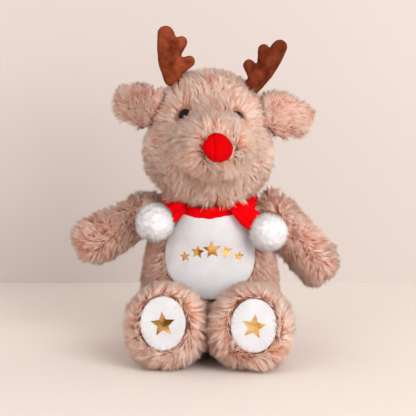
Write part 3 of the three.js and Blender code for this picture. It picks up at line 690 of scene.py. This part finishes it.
# %% Mix the short pile finishes
def nap_finish(name, dark, light, tint, patch, nap, height, sheen):
    """Short pile cloth: slow patches of colour and a fine raised nap."""
    made, tree, shader = finish_named(name, 0.9, Sheen_Weight=sheen,
                                      Sheen_Roughness=0.35, Sheen_Tint=tint,
                                      Specular_IOR_Level=0.05)
    slow, fast = grain(tree, patch, 4.0), grain(tree, nap, 3.0)
    coloured(tree, shader, added(tree, fast, 0.45, slow), (0.42, dark),
             (0.98, light))
    bump(tree, shader, fast, height * MM)
    return made


cream_velour = nap_finish("cream_velour", paint(207, 205, 207),
                          paint(226, 226, 230), (1, 1, 1, 1), patch=60.0,
                          nap=1500.0, height=0.25, sheen=0.35)
red_velour = nap_finish("red_velour", paint(180, 0, 3), paint(216, 0, 5),
                        paint(255, 30, 20), patch=90.0, nap=1500.0, height=0.25,
                        sheen=0.10)
red_fleece = nap_finish("red_fleece", paint(202, 0, 6), paint(244, 2, 13),
                        paint(255, 30, 30), patch=70.0, nap=1100.0, height=0.4,
                        sheen=0.10)
brown_velour = nap_finish("brown_velour", paint(70, 23, 9), paint(158, 76, 46),
                          paint(230, 140, 100), patch=130.0, nap=1300.0,
                          height=0.35, sheen=0.25)
# A darker copy of the brown velour, with less sheen: painted shade for the right
# antler.
brown_painted_shade = nap_finish("brown_velour_painted_shade", paint(58, 17, 7),
                              paint(134, 62, 38), paint(220, 130, 90),
                              patch=130.0, nap=1300.0, height=0.35, sheen=0.15)
print("finishes so far:", len(bpy.data.materials))

# %% [markdown]
# ## The velour panels and the nose
# The tummy and the soles are white velour, sewn into the plush and pushed out
# by the filling. Their edges pucker where the stitches hold them, so little
# waves run round the rim and die away towards the middle. The nose is a stuffed
# red ball.


# %% Sew the panels
def rim_waves(thing, centre, axis, count, depth, seed):
    """Pushes small radial puckers, about count of them, into a panel's rim."""
    places = coords(thing.data)
    axis = unit(np.array([axis]))[0]
    side = unit(np.cross([axis], [[0.1, 0.2, 1.0]]))[0]
    up = np.cross(axis, side)
    off = places - centre
    x, y = off @ side, off @ up
    turn, away = np.arctan2(y, x), np.hypot(x, y)
    sectors = 72
    rim = np.zeros(sectors)
    sector = ((turn + math.pi) / math.tau * sectors).astype(int) % sectors
    np.maximum.at(rim, sector, away)
    rim = (rim + np.roll(rim, 1) + np.roll(rim, -1)) / 3
    share = np.clip(away / np.maximum(rim[sector], 1e-6), 0, 1)
    dice = np.random.default_rng(seed)
    wave = sum(np.sin(turn * k + dice.uniform(0, math.tau)) * dice.uniform(0.4, 1)
               for k in range(count - 4, count + 5, 2)) / 2.2
    wave *= depth * MM * share ** 5
    front = np.clip((off @ axis) / (1.5 * MM), -1, 1) * 0.5 + 0.5
    put(thing, places + axis * (wave * front)[:, None])


def padded_piece(name, body, solids, finish, voxel, rounds):
    """A stuffed piece in short pile cloth, drawn from its own solids."""
    made = skin_from(name, solids, 0.0, voxel, rounds)
    made.data.materials.append(finish)
    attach(made, body)
    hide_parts(*solids)
    print(f"{name}: {len(made.data.polygons)} faces")
    return made


tummy = padded_piece("tummy_velour", "torso", ["tummy_panel"], cream_velour,
                     voxel=1.3, rounds=60)

# The top of the tummy runs on under the scarf, so that no edge of it shows.
top_band, top_rise, top_back = 16 * MM, 6.5, 1.2
places = coords(tummy.data)
top = places[:, 2].max()
rise = np.clip((places[:, 2] - top + top_band) / top_band, 0, 1) ** 1.5
places[:, 2] += rise * top_rise * MM
places[:, 1] += rise * top_back * MM
put(tummy, places)
rim_waves(tummy, centre_of("tummy_panel"), (0, -1, 0.1), 34, 0.2, seed=5)

soles = {}
for side, seed in zip(SIDES, (7, 9)):
    soles[side] = padded_piece(f"sole_velour_{side}", f"leg_{side}",
                               [f"foot_pad_{side}"], cream_velour,
                               voxel=0.9, rounds=16)
    rim_waves(soles[side], centre_of(f"foot_pad_{side}"), (0, -1, 0.05), 26, 0.5,
              seed)
nose = padded_piece("nose_velour", "head", ["nose"], red_velour,
                    voxel=0.8, rounds=5)

# %% [markdown]
# ## The plush skins
# Each limb, the body, the head, the ears and the tail get their skin. The
# muzzle is sewn into the head, so the two share one skin, relaxed along the
# crease so that the pile runs on across it. The filling under a skin is never
# seen, so the skin stands for both.

# %% Draw the plush skins
skins = {}


def plush_skin(name, body, solids, inset=5.0, voxel=2.2, rounds=9):
    """A plush piece's backing cloth, which stands for its solids."""
    made = skin_from(name, solids, inset, voxel, rounds)
    made.data.materials.append(backing)
    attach(made, body)
    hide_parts(*solids)
    skins[name] = made


def filled_crease(skin, one, other, reach, rounds):
    """Relaxes a skin where two solids meet, so the pile runs on across it."""
    near_one, near_other = tree_of(cad[one]), tree_of(cad[other])
    shell = bmesh.new()
    shell.from_mesh(skin.data)
    close = [v for v in shell.verts
             if near_one.find_nearest(v.co)[3] < reach * MM
             and near_other.find_nearest(v.co)[3] < reach * MM]
    for _ in range(rounds):
        bmesh.ops.smooth_vert(shell, verts=close, factor=0.5, use_axis_x=True,
                              use_axis_y=True, use_axis_z=True)
    shell.to_mesh(skin.data)
    shell.free()
    print(f"{skin.name}: {len(close)} points relaxed")


plush_skin("body_skin", "torso", ["torso_plush", "torso_stuffing", "bean_pouch"])
plush_skin("head_skin", "head", ["head_plush", "head_stuffing", "muzzle_plush",
                                 "muzzle_stuffing"], inset=5.6, rounds=12)
filled_crease(skins["head_skin"], "head_plush", "muzzle_plush", 17.0, 220)
plush_skin("tail_skin", "tail", ["tail_plush"], inset=2.4, voxel=1.4, rounds=4)
for side in SIDES:
    plush_skin(f"arm_skin_{side}", f"arm_{side}",
               [f"arm_{side}_plush", f"arm_{side}_stuffing"])
    plush_skin(f"leg_skin_{side}", f"leg_{side}",
               [f"leg_{side}_plush", f"leg_{side}_stuffing"])
    plush_skin(f"ear_skin_{side}", f"ear_{side}", [f"ear_{side}"], inset=2.6,
               voxel=1.6, rounds=5)
print("skins:", {n: len(s.data.polygons) for n, s in skins.items()})

# %% [markdown]
# ## Threads and hems
# Threads through the filling pull the face in beside the nose and under the
# muzzle, so the skin gets shallow valleys there. Where a panel is sewn over a
# skin, the skin is drawn back until it stays behind the panel.

# %% Pull the threads
nose_place = centre_of("nose") / MM
# Each thread's two ends from the nose's middle, its depth and its width, in mm.
threads = (((-12, 12, 22), (-21, 14, 3), 2.4, 5.0),
           ((12, 12, 22), (20, 14, 4), 2.0, 5.0),
           ((-15, 8, -29), (5, 8, -29), 3.4, 3.5))


def valley(points, start, end, depth, width):
    """How far a skin is drawn in along a line between two places."""
    start, end = np.array(start) * MM, np.array(end) * MM
    way = end - start
    share = np.clip((points - start) @ way / (way @ way), 0, 1)
    far = np.linalg.norm(points - start - share[:, None] * way, axis=1) / MM
    return -depth * np.exp(-(far / width) ** 2)


def tucked(skin, cover, behind, deep=14, across=30):
    """Draws a skin back under a panel, to this many millimetres behind it."""
    over = tree_of(cover)
    places = coords(skin.data)
    moved = 0
    for k, place in enumerate(places):
        start = Vector(place) - FRONT * deep * MM
        hit, _, _, far = over.ray_cast(start, FRONT, across * MM)
        if hit is not None and far < (deep + behind) * MM:
            places[k] = start + FRONT * (far - behind * MM)
            moved += 1
    put(skin, places)
    print(f"{skin.name}: {moved} points tucked behind {cover.name}")


pushed(skins["head_skin"], lambda points, normals: sum(
    valley(points, nose_place + start, nose_place + end, depth, width)
    for start, end, depth, width in threads))
tucked(skins["body_skin"], tummy, 2.5)
for side in SIDES:
    tucked(skins[f"leg_skin_{side}"], soles[side], 3.0)

# %% [markdown]
# ## The scarf and the antlers
# The scarf is a soft fleece tube, so it is padded only a little, and it falls
# into folds round the neck and below each knot. The antlers are two velour
# sides, sewn flat round their edge and stuffed firmly. Folds and seams are
# pushed into the finished cloth along its normals.

# %% Make the scarf and the antlers
scarf = padded_piece("scarf_fleece", "torso", ["scarf_band"], red_fleece,
                     voxel=1.1, rounds=5)
tails, antlers = {}, {}
for side in SIDES:
    tails[side] = padded_piece(f"scarf_end_{side}", f"scarf_tail_{side}",
                               [f"scarf_tail_{side}"], red_fleece,
                               voxel=0.9, rounds=4)
    # The right antler gets the darker copy of the brown velour, which paints shade on
    # it.
    antlers[side] = padded_piece(
        f"antler_velour_{side}", f"antler_{side}",
        [f"antler_{side}_cover", f"antler_{side}_stuffing"],
        brown_velour if side == "left" else brown_painted_shade,
        voxel=1.0, rounds=4)

# %% Fold the scarf
knots = {"left": (-22.3, -37.8, 115.9), "right": (20, -39.2, 115.6)}
# Each fold of an end: where it starts beside the knot, how far it strays on its
# way down, its width and how far it stands out, in mm.
folds = ((0.5, 0.10, 1.5, -2.6), (-4.2, -0.05, 1.1, -1.8), (3.2, 0.0, 1.6, 1.1))


def band_gathers(points, normals):
    """Soft folds that run round the neck, wandering up and down."""
    turn = np.arctan2(points[:, 1], points[:, 0])
    rise = points[:, 2] / MM + 1.6 * np.sin(3 * turn) + 0.9 * np.sin(7 * turn + 1)
    return 0.9 * np.sin(rise * 1.15) + 0.15 * np.sin(turn * 23 + rise * 0.4)


def end_folds(side):
    """A deep fold from the knot to the pompom, a smaller one and a ridge."""
    knot = np.array(knots[side]) * MM
    way = unit(np.array([centre_of(f"pompom_{side}") - knot]))[0]
    across = unit(np.cross([way], [FRONT]))[0]

    def move(points, normals):
        off = (points - knot) / MM
        down, aside = off @ way, off @ across
        front = np.clip(normals @ np.array([0, -1, 0.1]), 0, 1)
        return front * sum(
            height * np.exp(-((aside - start - stray * down) / width) ** 2)
            for start, stray, width, height in folds)
    return move


pushed(scarf, band_gathers)
for side in SIDES:
    pushed(tails[side], end_folds(side))


# %% Sew the antlers' edges
def antler_seam(side):
    """The two velour sides are drawn in where they meet at the edge."""
    places = coords(antlers[side].data)
    middle = places.mean(0)
    flat = np.linalg.svd(places - middle, full_matrices=False)[2][2]

    def move(points, normals):
        edge = 1 - np.abs(normals @ flat)
        away = np.abs((points - middle) @ flat) / MM
        groove = np.exp(-(away / 0.9) ** 2) * np.clip(edge * 2 - 1, 0, 1)
        puckers = 0.12 * np.sin(drift(points, 3.0, 61)[:, 0] * 3) * np.clip(
            edge * 1.5 - 0.2, 0, 1)
        return -0.7 * groove + puckers
    return move


for side in SIDES:
    pushed(antlers[side], antler_seam(side))

# %% [markdown]
# ## The nose's cut
# The nose is cut by hand, so it isn't quite round, and it is gathered by one
# seam down its front, a little left of the middle.

# %% Cut and gather the nose
# How far the nose reaches from its middle in mm, when round and as it is cut,
# at these angles in degrees from the viewer's right.
round_reach = 15.0
cut_angles = (-180, -141, -115, -90, -47, -20, 0, 31, 67, 110, 143, 180)
cut_reaches = (14.6, 13.1, 14.2, 14.9, 15.6, 15.0, 14.4, 12.6, 13.2, 14.4, 12.9,
               14.6)
places = coords(nose.data)
off = places - nose_place * MM
turn = np.degrees(np.arctan2(off[:, 2], off[:, 0]))
reach = np.interp(turn, cut_angles, cut_reaches) / round_reach
for axis in (0, 2):
    places[:, axis] = nose_place[axis] * MM + off[:, axis] * reach
put(nose, places)


def nose_seam(points, normals, depth=1.3, width=0.9, left=2.6, slant=0.05):
    """One seam down the front, on cloth that isn't quite even."""
    off = points / MM - nose_place
    aside = off[:, 0] + left + slant * off[:, 2]
    front = np.clip(normals @ np.array(FRONT), 0, 1)
    return -depth * front * np.exp(-(aside / width) ** 2) + (
        0.25 * drift(points, 6.0, 71)[:, 0])


pushed(nose, nose_seam)
print("nose:", len(nose.data.polygons), "faces")

# %% [markdown]
# ## Gold foil
# Foil is pressed on the velour with heat. It is a film of a tenth of a
# millimetre, so each small star is cut flat, subdivided so that it can bend,
# and dropped onto the cloth along a ray. It is bright metal with fine crinkles.
# Dark and pale gold is painted along the crinkles and slower waves, a painted
# reflection of them.

# %% Press the foil stars
gold, tree, shader = finish_named("gold_foil", 0.2, Metallic=1.0)
crinkle_and_glint = grain(tree, 260.0, 3.0)
waves = grain(tree, 70.0, 1.0)
# Dark and pale gold along the crinkles and waves: painted reflection.
coloured(tree, shader, added(tree, crinkle_and_glint, 0.35, waves),
         (0.52, paint(132, 86, 24)), (0.64, paint(226, 172, 98)),
         (0.84, paint(255, 214, 150)))
bump(tree, shader, crinkle_and_glint, 0.4 * MM, 0.6)

NOTCH = 0.46         # how far out a star's inner corners lie
FOIL_LIFT = 0.12     # mm that foil stands off the cloth
FOIL_THICK = 0.08    # mm
# Each star's place from the panel's middle, its size and its turn.
tummy_row = (((-19, 0, 3), 4.2, 8), ((-9.5, 0, 7), 5.4, -6),
             ((1.5, 0, 9), 7.2, 4), ((12.5, 0, 7), 5.4, 12),
             ((22, 0, 3), 4.2, -8))
sole_stars = {"left": ((0, 0, 0), 9.5, 5), "right": ((0, 0, 0), 9.5, -9)}


def foil_star(sheet, centre, size, turn, cloth):
    """Adds one five-pointed star, laid on the cloth from the front."""
    star = bmesh.ops.create_circle(sheet, cap_ends=False, segments=10,
                                   radius=size * MM)["verts"]
    angle = math.radians(turn)
    for k, vert in enumerate(star):
        vert.co *= 1.0 if k % 2 == 0 else NOTCH
        x, y = vert.co.x, vert.co.y
        vert.co.x, vert.co.y = (x * math.cos(angle) - y * math.sin(angle),
                                x * math.sin(angle) + y * math.cos(angle))
    middle = sheet.verts.new((0, 0, 0))
    faces = [sheet.faces.new((middle, a, b))
             for a, b in zip(star, star[1:] + star[:1])]
    edges = list(dict.fromkeys(e for f in faces for e in f.edges))
    bmesh.ops.subdivide_edges(sheet, edges=edges, cuts=3, use_grid_fill=True)
    for vert in [v for v in sheet.verts if not v.tag]:
        vert.tag = True
        at = centre + Vector((vert.co.x, 0, vert.co.y))
        hit = cloth.ray_cast(at + FRONT * 40 * MM, -FRONT)[0]
        vert.co = (hit if hit is not None else at) + FRONT * FOIL_LIFT * MM


def foil_piece(name, body, cloth_piece, panel, stars):
    """A few stars on one velour piece."""
    sheet, cloth = bmesh.new(), tree_of(cloth_piece)
    panel_place = centre_of(panel) / MM
    for place, size, turn in stars:
        foil_star(sheet, Vector(panel_place + place) * MM, size, turn, cloth)
    bmesh.ops.recalc_face_normals(sheet, faces=sheet.faces[:])
    if sum(f.normal.y * f.calc_area() for f in sheet.faces) > 0:
        bmesh.ops.reverse_faces(sheet, faces=sheet.faces[:])
    bmesh.ops.solidify(sheet, geom=sheet.faces[:], thickness=FOIL_THICK * MM)
    made = object_from(sheet, name)
    made.data.materials.append(gold)
    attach(made, body)
    print(f"{name}: {len(made.data.polygons)} faces")


foil_piece("tummy_stars", "torso", tummy, "tummy_panel", tummy_row)
for side in SIDES:
    foil_piece(f"sole_star_{side}", f"leg_{side}", soles[side],
               f"foot_pad_{side}", [sole_stars[side]])

# %% [markdown]
# ## The eyes and what is hidden
# Safety eyes are polished black domes, so their finish is smooth, and hardly
# lighter in one place than in another. Washers and neck filling are hidden, but
# an exploded view shows them, so they get finishes too.

# %% Give the eyes and hidden pieces their finishes
eye_black, tree, shader = finish_named("bead_black", 0.12, Specular_IOR_Level=0.18)
coloured(tree, shader, grain(tree, 500.0), (0.3, paint(14, 10, 9)),
         (0.7, paint(24, 17, 14)))
washer_clear, tree, shader = finish_named("washer_plastic", 0.35)
shader.inputs["Base Color"].default_value = paint(224, 226, 226)
filling, tree, shader = finish_named("fibre_filling", 0.95)
coloured(tree, shader, grain(tree, 300.0, 5.0), (0.3, paint(222, 220, 214)),
         (0.7, paint(248, 247, 243)))


def refinish(solid, finish):
    """Puts a finish on every material slot of a CAD solid."""
    for place in cad[solid].material_slots:
        place.link = "OBJECT"
        place.material = finish


for side in SIDES:
    refinish(f"eye_washer_{side}", washer_clear)
    bead = skin_from(f"eye_bead_{side}", [f"eye_{side}"], 0.0, voxel=0.45, rounds=2)
    bead.data.materials.append(eye_black)
    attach(bead, "head")
    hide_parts(f"eye_{side}")
refinish("neck_stuffing", filling)
print("finishes:", len(bpy.data.materials))

# %% [markdown]
# ## Combing each piece
# The pile lies the way the maker brushed it: down the body, along the arms
# towards the paws, away from the nose over the muzzle, outwards round the
# soles, and in loose whirls over the head. It laps over the rims of the nose
# and the soles, and stands up where two pieces meet, so that no bare seam shows.

# %% Name the places that the pile goes round
nose_at = centre_of("nose")
eyes_at = [centre_of(f"eye_{side}") for side in SIDES]
tummy_at = centre_of("tummy_panel")
NOSE_RIM = 12.3                 # mm from the nose's middle
SOLE_RIM = (18.5, 13.0, 22.0)   # mm from a sole's middle, across, deep and up
NOSE_LAP, SOLE_LAP = 1.12, 1.18     # the pile laps inwards within these shares
EYE_CLEAR = 7.8                 # mm from an eye's middle without roots
SEWN_NEAR = 6                   # mm from a neighbour where roots are looked at


def armhole(sign):
    """The body's side of the seam at a shoulder."""
    return np.array([sign * 40, -12, 118]) * MM


def sleeve(sign):
    """The arm's side of the seam at a shoulder."""
    return np.array([sign * 43, -9, 117]) * MM


def far_end(name, start):
    """The point of a solid that lies farthest from a start."""
    places = coords(cad[name].data)
    return places[np.argmax(np.linalg.norm(places - start, axis=1))]


def near(points, centre, size):
    """One at a centre, falling away over this many millimetres."""
    far = np.linalg.norm(points - centre, axis=1, keepdims=True)
    return np.exp(-(far / (size * MM)) ** 2)


def past_nose(points):
    """How far out a root is: one at the nose's rim."""
    return np.linalg.norm(points - nose_at, axis=1, keepdims=True) / (NOSE_RIM * MM)


def past_rim(points, centre):
    """How far out a root is: one at a sole's rim."""
    off = (points - centre) / MM / np.array(SOLE_RIM)
    return np.linalg.norm(off, axis=1, keepdims=True)


# %% Keep roots out of the wrong places
def off_the_eyes(points, normals):
    """Keeps the pile's roots from under the eye beads."""
    away = np.min([np.linalg.norm(points - eye, axis=1) for eye in eyes_at], 0)
    return away > EYE_CLEAR * MM


def outside(*neighbours, margin=1.0):
    """Keeps the pile's roots out of the pieces that this one is sewn into."""
    def keep(points, normals):
        free = np.ones(len(points), bool)
        for near_by in (tree_of(skins[name]) for name in neighbours):
            for k in np.flatnonzero(free):
                at, facing, _, far = near_by.find_nearest(points[k].tolist())
                free[k] = far > SEWN_NEAR * MM or (
                    Vector(points[k]) - at).dot(facing) > margin * MM
        return free
    return keep


muzzle_faces = tree_of(cad["muzzle_plush"])
head_faces = tree_of(cad["head_plush"])


def on_muzzle(points, normals):
    """Which roots lie nearer to the muzzle's solid than to the head's."""
    return np.array([muzzle_faces.find_nearest(p)[3] < head_faces.find_nearest(p)[3]
                     for p in points.tolist()])


# %% Comb the face
def away_from(point, lift=(0, 0, 0)):
    """Pile that leaves a point, with a constant way added."""
    def comb(points, normals):
        return unit(points - np.array(point)) + np.array(lift)
    return comb


def over_the_face(lift, chin):
    """Laps the nose, leaves it, bends round each eye and hangs at the chin."""
    away = away_from(nose_at, lift)

    def comb(points, normals):
        out = away(points, normals) * np.array([1.5, 1, 0.75]) + np.array(
            [0, 0, -0.2])
        out = out * np.clip((past_nose(points) - NOSE_LAP) * 5, -1.2, 1)
        for eye in eyes_at:
            out = out + 9.0 * near(points, eye, 15.0) * unit(points - eye)
        low = np.clip((150 * MM - points[:, 2:3]) / (25 * MM), 0, 1)
        return out + chin * low * np.array([0, -0.4, -1.0])
    return comb


def short_at_face(points):
    """Short pile round the eyes, long at the chin, upright round the nose."""
    close = np.clip(sum(near(points, eye, 13.0) for eye in eyes_at), 0, 1)
    low = np.clip((134 * MM - points[:, 2:3]) / (8 * MM), 0, 1)
    front = np.clip((-14 * MM - points[:, 1:2]) / (12 * MM), 0, 1)
    chin = low * (0.5 * front - 0.5 * (1 - front))
    return (1 - 0.5 * close) * (1 + chin), np.clip(
        np.abs(past_nose(points) - NOSE_LAP) * 6, 0.6, 1)


# %% Comb the feet
def round_the_sole(centre, turn):
    """Laps over the sole's rim, then lies outwards and round the foot."""
    def comb(points, normals):
        out = unit((points - centre) * np.array([1, 0.5, 1]))
        around = np.cross([FRONT], out)
        return out * np.clip((past_rim(points, centre) - SOLE_LAP) * 7, -1.3, 1.0) + (
            turn * around)
    return comb


def upright_at(centre):
    """Pile that stands up beside a sole's rim and where the feet touch."""
    def shape(points):
        inner = np.exp(-(points[:, :1] / (11 * MM)) ** 2)
        return 1 + 0.25 * inner, np.clip(
            np.abs(past_rim(points, centre) - SOLE_LAP) * 8, 0.7, 1) * (
                1 - 0.7 * inner)
    return shape


# %% Comb the body, the arms and the tail
def down_the_body(points, normals):
    """Lies down the body, over the tummy's rim and up at the shoulders."""
    out = np.array([0, 0, -1.0]) + 0.3 * normals
    out = out + 0.7 * near(points, tummy_at, 44.0) * np.array(
        [-1.0, 0, 0]) * np.sign(points[:, :1])
    for sign in (-1, 1):
        out = out + 3.0 * near(points, armhole(sign), 12.0) * np.array(
            [sign * 0.6, -0.5, 0.9])
    return out


def from_the_shoulder(sign, start, end):
    """Lies along an arm, and towards the neck where the arm is sewn on."""
    way = unit(np.array([end - start]))[0] + np.array((0, 0, -0.35))

    def comb(points, normals):
        return way + 3.5 * near(points, sleeve(sign), 13.0) * np.array(
            [-sign * 0.7, -0.3, 0.8])
    return comb


def longer_at(*places):
    """Longer pile where two pieces leave a gap."""
    def shape(points):
        more = sum(near(points, place, 12.0) for place in places)
        return 1 + 0.45 * np.clip(more, 0, 1), np.ones_like(more)
    return shape


def backwards(points, normals):
    """Lies towards the back and a little up, as on the stub tail."""
    return np.tile((0, 1.0, 0.3), (len(points), 1))


# %% Grow the plush
limb_skins = [f"{limb}_skin_{side}" for limb in ("arm", "leg") for side in SIDES]
grow("body_plush", "torso", skins["body_skin"], fawn_painted_shade, "fur", 9.5, 48,
     down_the_body, seed=11, covers=[tummy, scarf], reach=4.0,
     shape=longer_at(armhole(-1), armhole(1)),
     keep=outside(*limb_skins, margin=-1.0))
grow("head_pile", "head", skins["head_skin"], fawn, "fur", 10.0, 42,
     over_the_face((0, 0, 0.1), chin=2.2), seed=12, covers=[nose], ruffle=1.5,
     lock=1.8, lock_pull=0.78, shape=short_at_face,
     keep=lambda points, normals: (off_the_eyes(points, normals)
                                   & ~on_muzzle(points, normals)))
grow("muzzle_pile", "head", skins["head_skin"], fawn, "fur", 10.0, 44,
     over_the_face((0, 0, 0), chin=1.0), seed=13, covers=[nose], ruffle=1.5,
     density=1.15, lock=1.6, shape=short_at_face,
     keep=lambda points, normals: (off_the_eyes(points, normals)
                                   & on_muzzle(points, normals)))
grow("tail_pile", "tail", skins["tail_skin"], fawn, "fur", 7.5, 40, backwards,
     seed=14, density=1.4, keep=outside("body_skin"))
for k, (side, sign) in enumerate(zip(SIDES, (-1, 1))):
    shoulder = np.array([sign * 49.37, 0, 103.79]) * MM
    paw = far_end(f"arm_{side}_plush", shoulder)
    grow(f"arm_pile_{side}", f"arm_{side}", skins[f"arm_skin_{side}"], fawn_painted_shade,
         "fur", 10.0, 50, from_the_shoulder(sign, shoulder, paw), seed=21 + k,
         lock=1.75, lock_pull=0.76, keep=outside("body_skin", margin=-1.0),
         shape=longer_at(sleeve(sign)))
    sole_at = centre_of(f"foot_pad_{side}")
    grow(f"leg_pile_{side}", f"leg_{side}", skins[f"leg_skin_{side}"], fawn,
         "fur", 11.0, 54, round_the_sole(sole_at, sign * 0.8), seed=31 + k,
         covers=[soles[side]], ruffle=0.9, lock=1.55, lock_pull=0.7,
         keep=outside("body_skin"), shape=upright_at(sole_at))
    ear_root = np.array([sign * 44.0, -13.0, 168.0]) * MM
    grow(f"ear_pile_{side}", f"ear_{side}", skins[f"ear_skin_{side}"], fawn_painted_shade,
         "fur", 9.5, 58, away_from(ear_root), seed=41 + k, ruffle=0.45,
         density=1.2, tuft=8.0, lock_pull=0.6, keep=outside("head_skin"))

# %% [markdown]
# ## The pompoms
# A pompom is cut wool: its yarns end at almost the same length and clot into
# small round clumps. So it is a ball of clumps with a fine fuzz over them.

# %% Make the pompoms
CLUMPS_PER_MM2, CLUMP_REACH = 0.085, 2.6


def clumped(heads, seed):
    """Small round clumps round these heads, on a ball that isn't quite round."""
    def move(points, normals):
        far = np.linalg.norm(points - heads[nearest(points, heads)], axis=1) / MM
        return 0.32 * (1 - (far / CLUMP_REACH) ** 2).clip(-0.4, 1) + (
            0.4 * drift(points, 7.0, seed)[:, 0])
    return move


for k, side in enumerate(SIDES):
    core = skin_from(f"pompom_core_{side}", [f"pompom_{side}"], 0.9, voxel=0.8,
                     rounds=4)
    pushed(core, clumped(scattered(core, CLUMPS_PER_MM2, 55 + k)[0], 57 + k))
    core.data.materials.append(white_wool)
    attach(core, f"scarf_tail_{side}")
    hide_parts(f"pompom_{side}")
    grow(f"pompom_wool_{side}", f"scarf_tail_{side}", core, white_wool,
         "white_wool", 3.2, 36, away_from(centre_of(f"pompom_{side}")), seed=51 + k,
         density=0.6, tuft=3.6, lock=1.0, tuft_pull=0.2, lock_pull=0.3, width=0.13,
         soft=0.8)

# %% [markdown]
# ## Finish
# The number of plush faces is printed.

# %% Count the plush faces
print("plush faces:", sum(plush_faces))
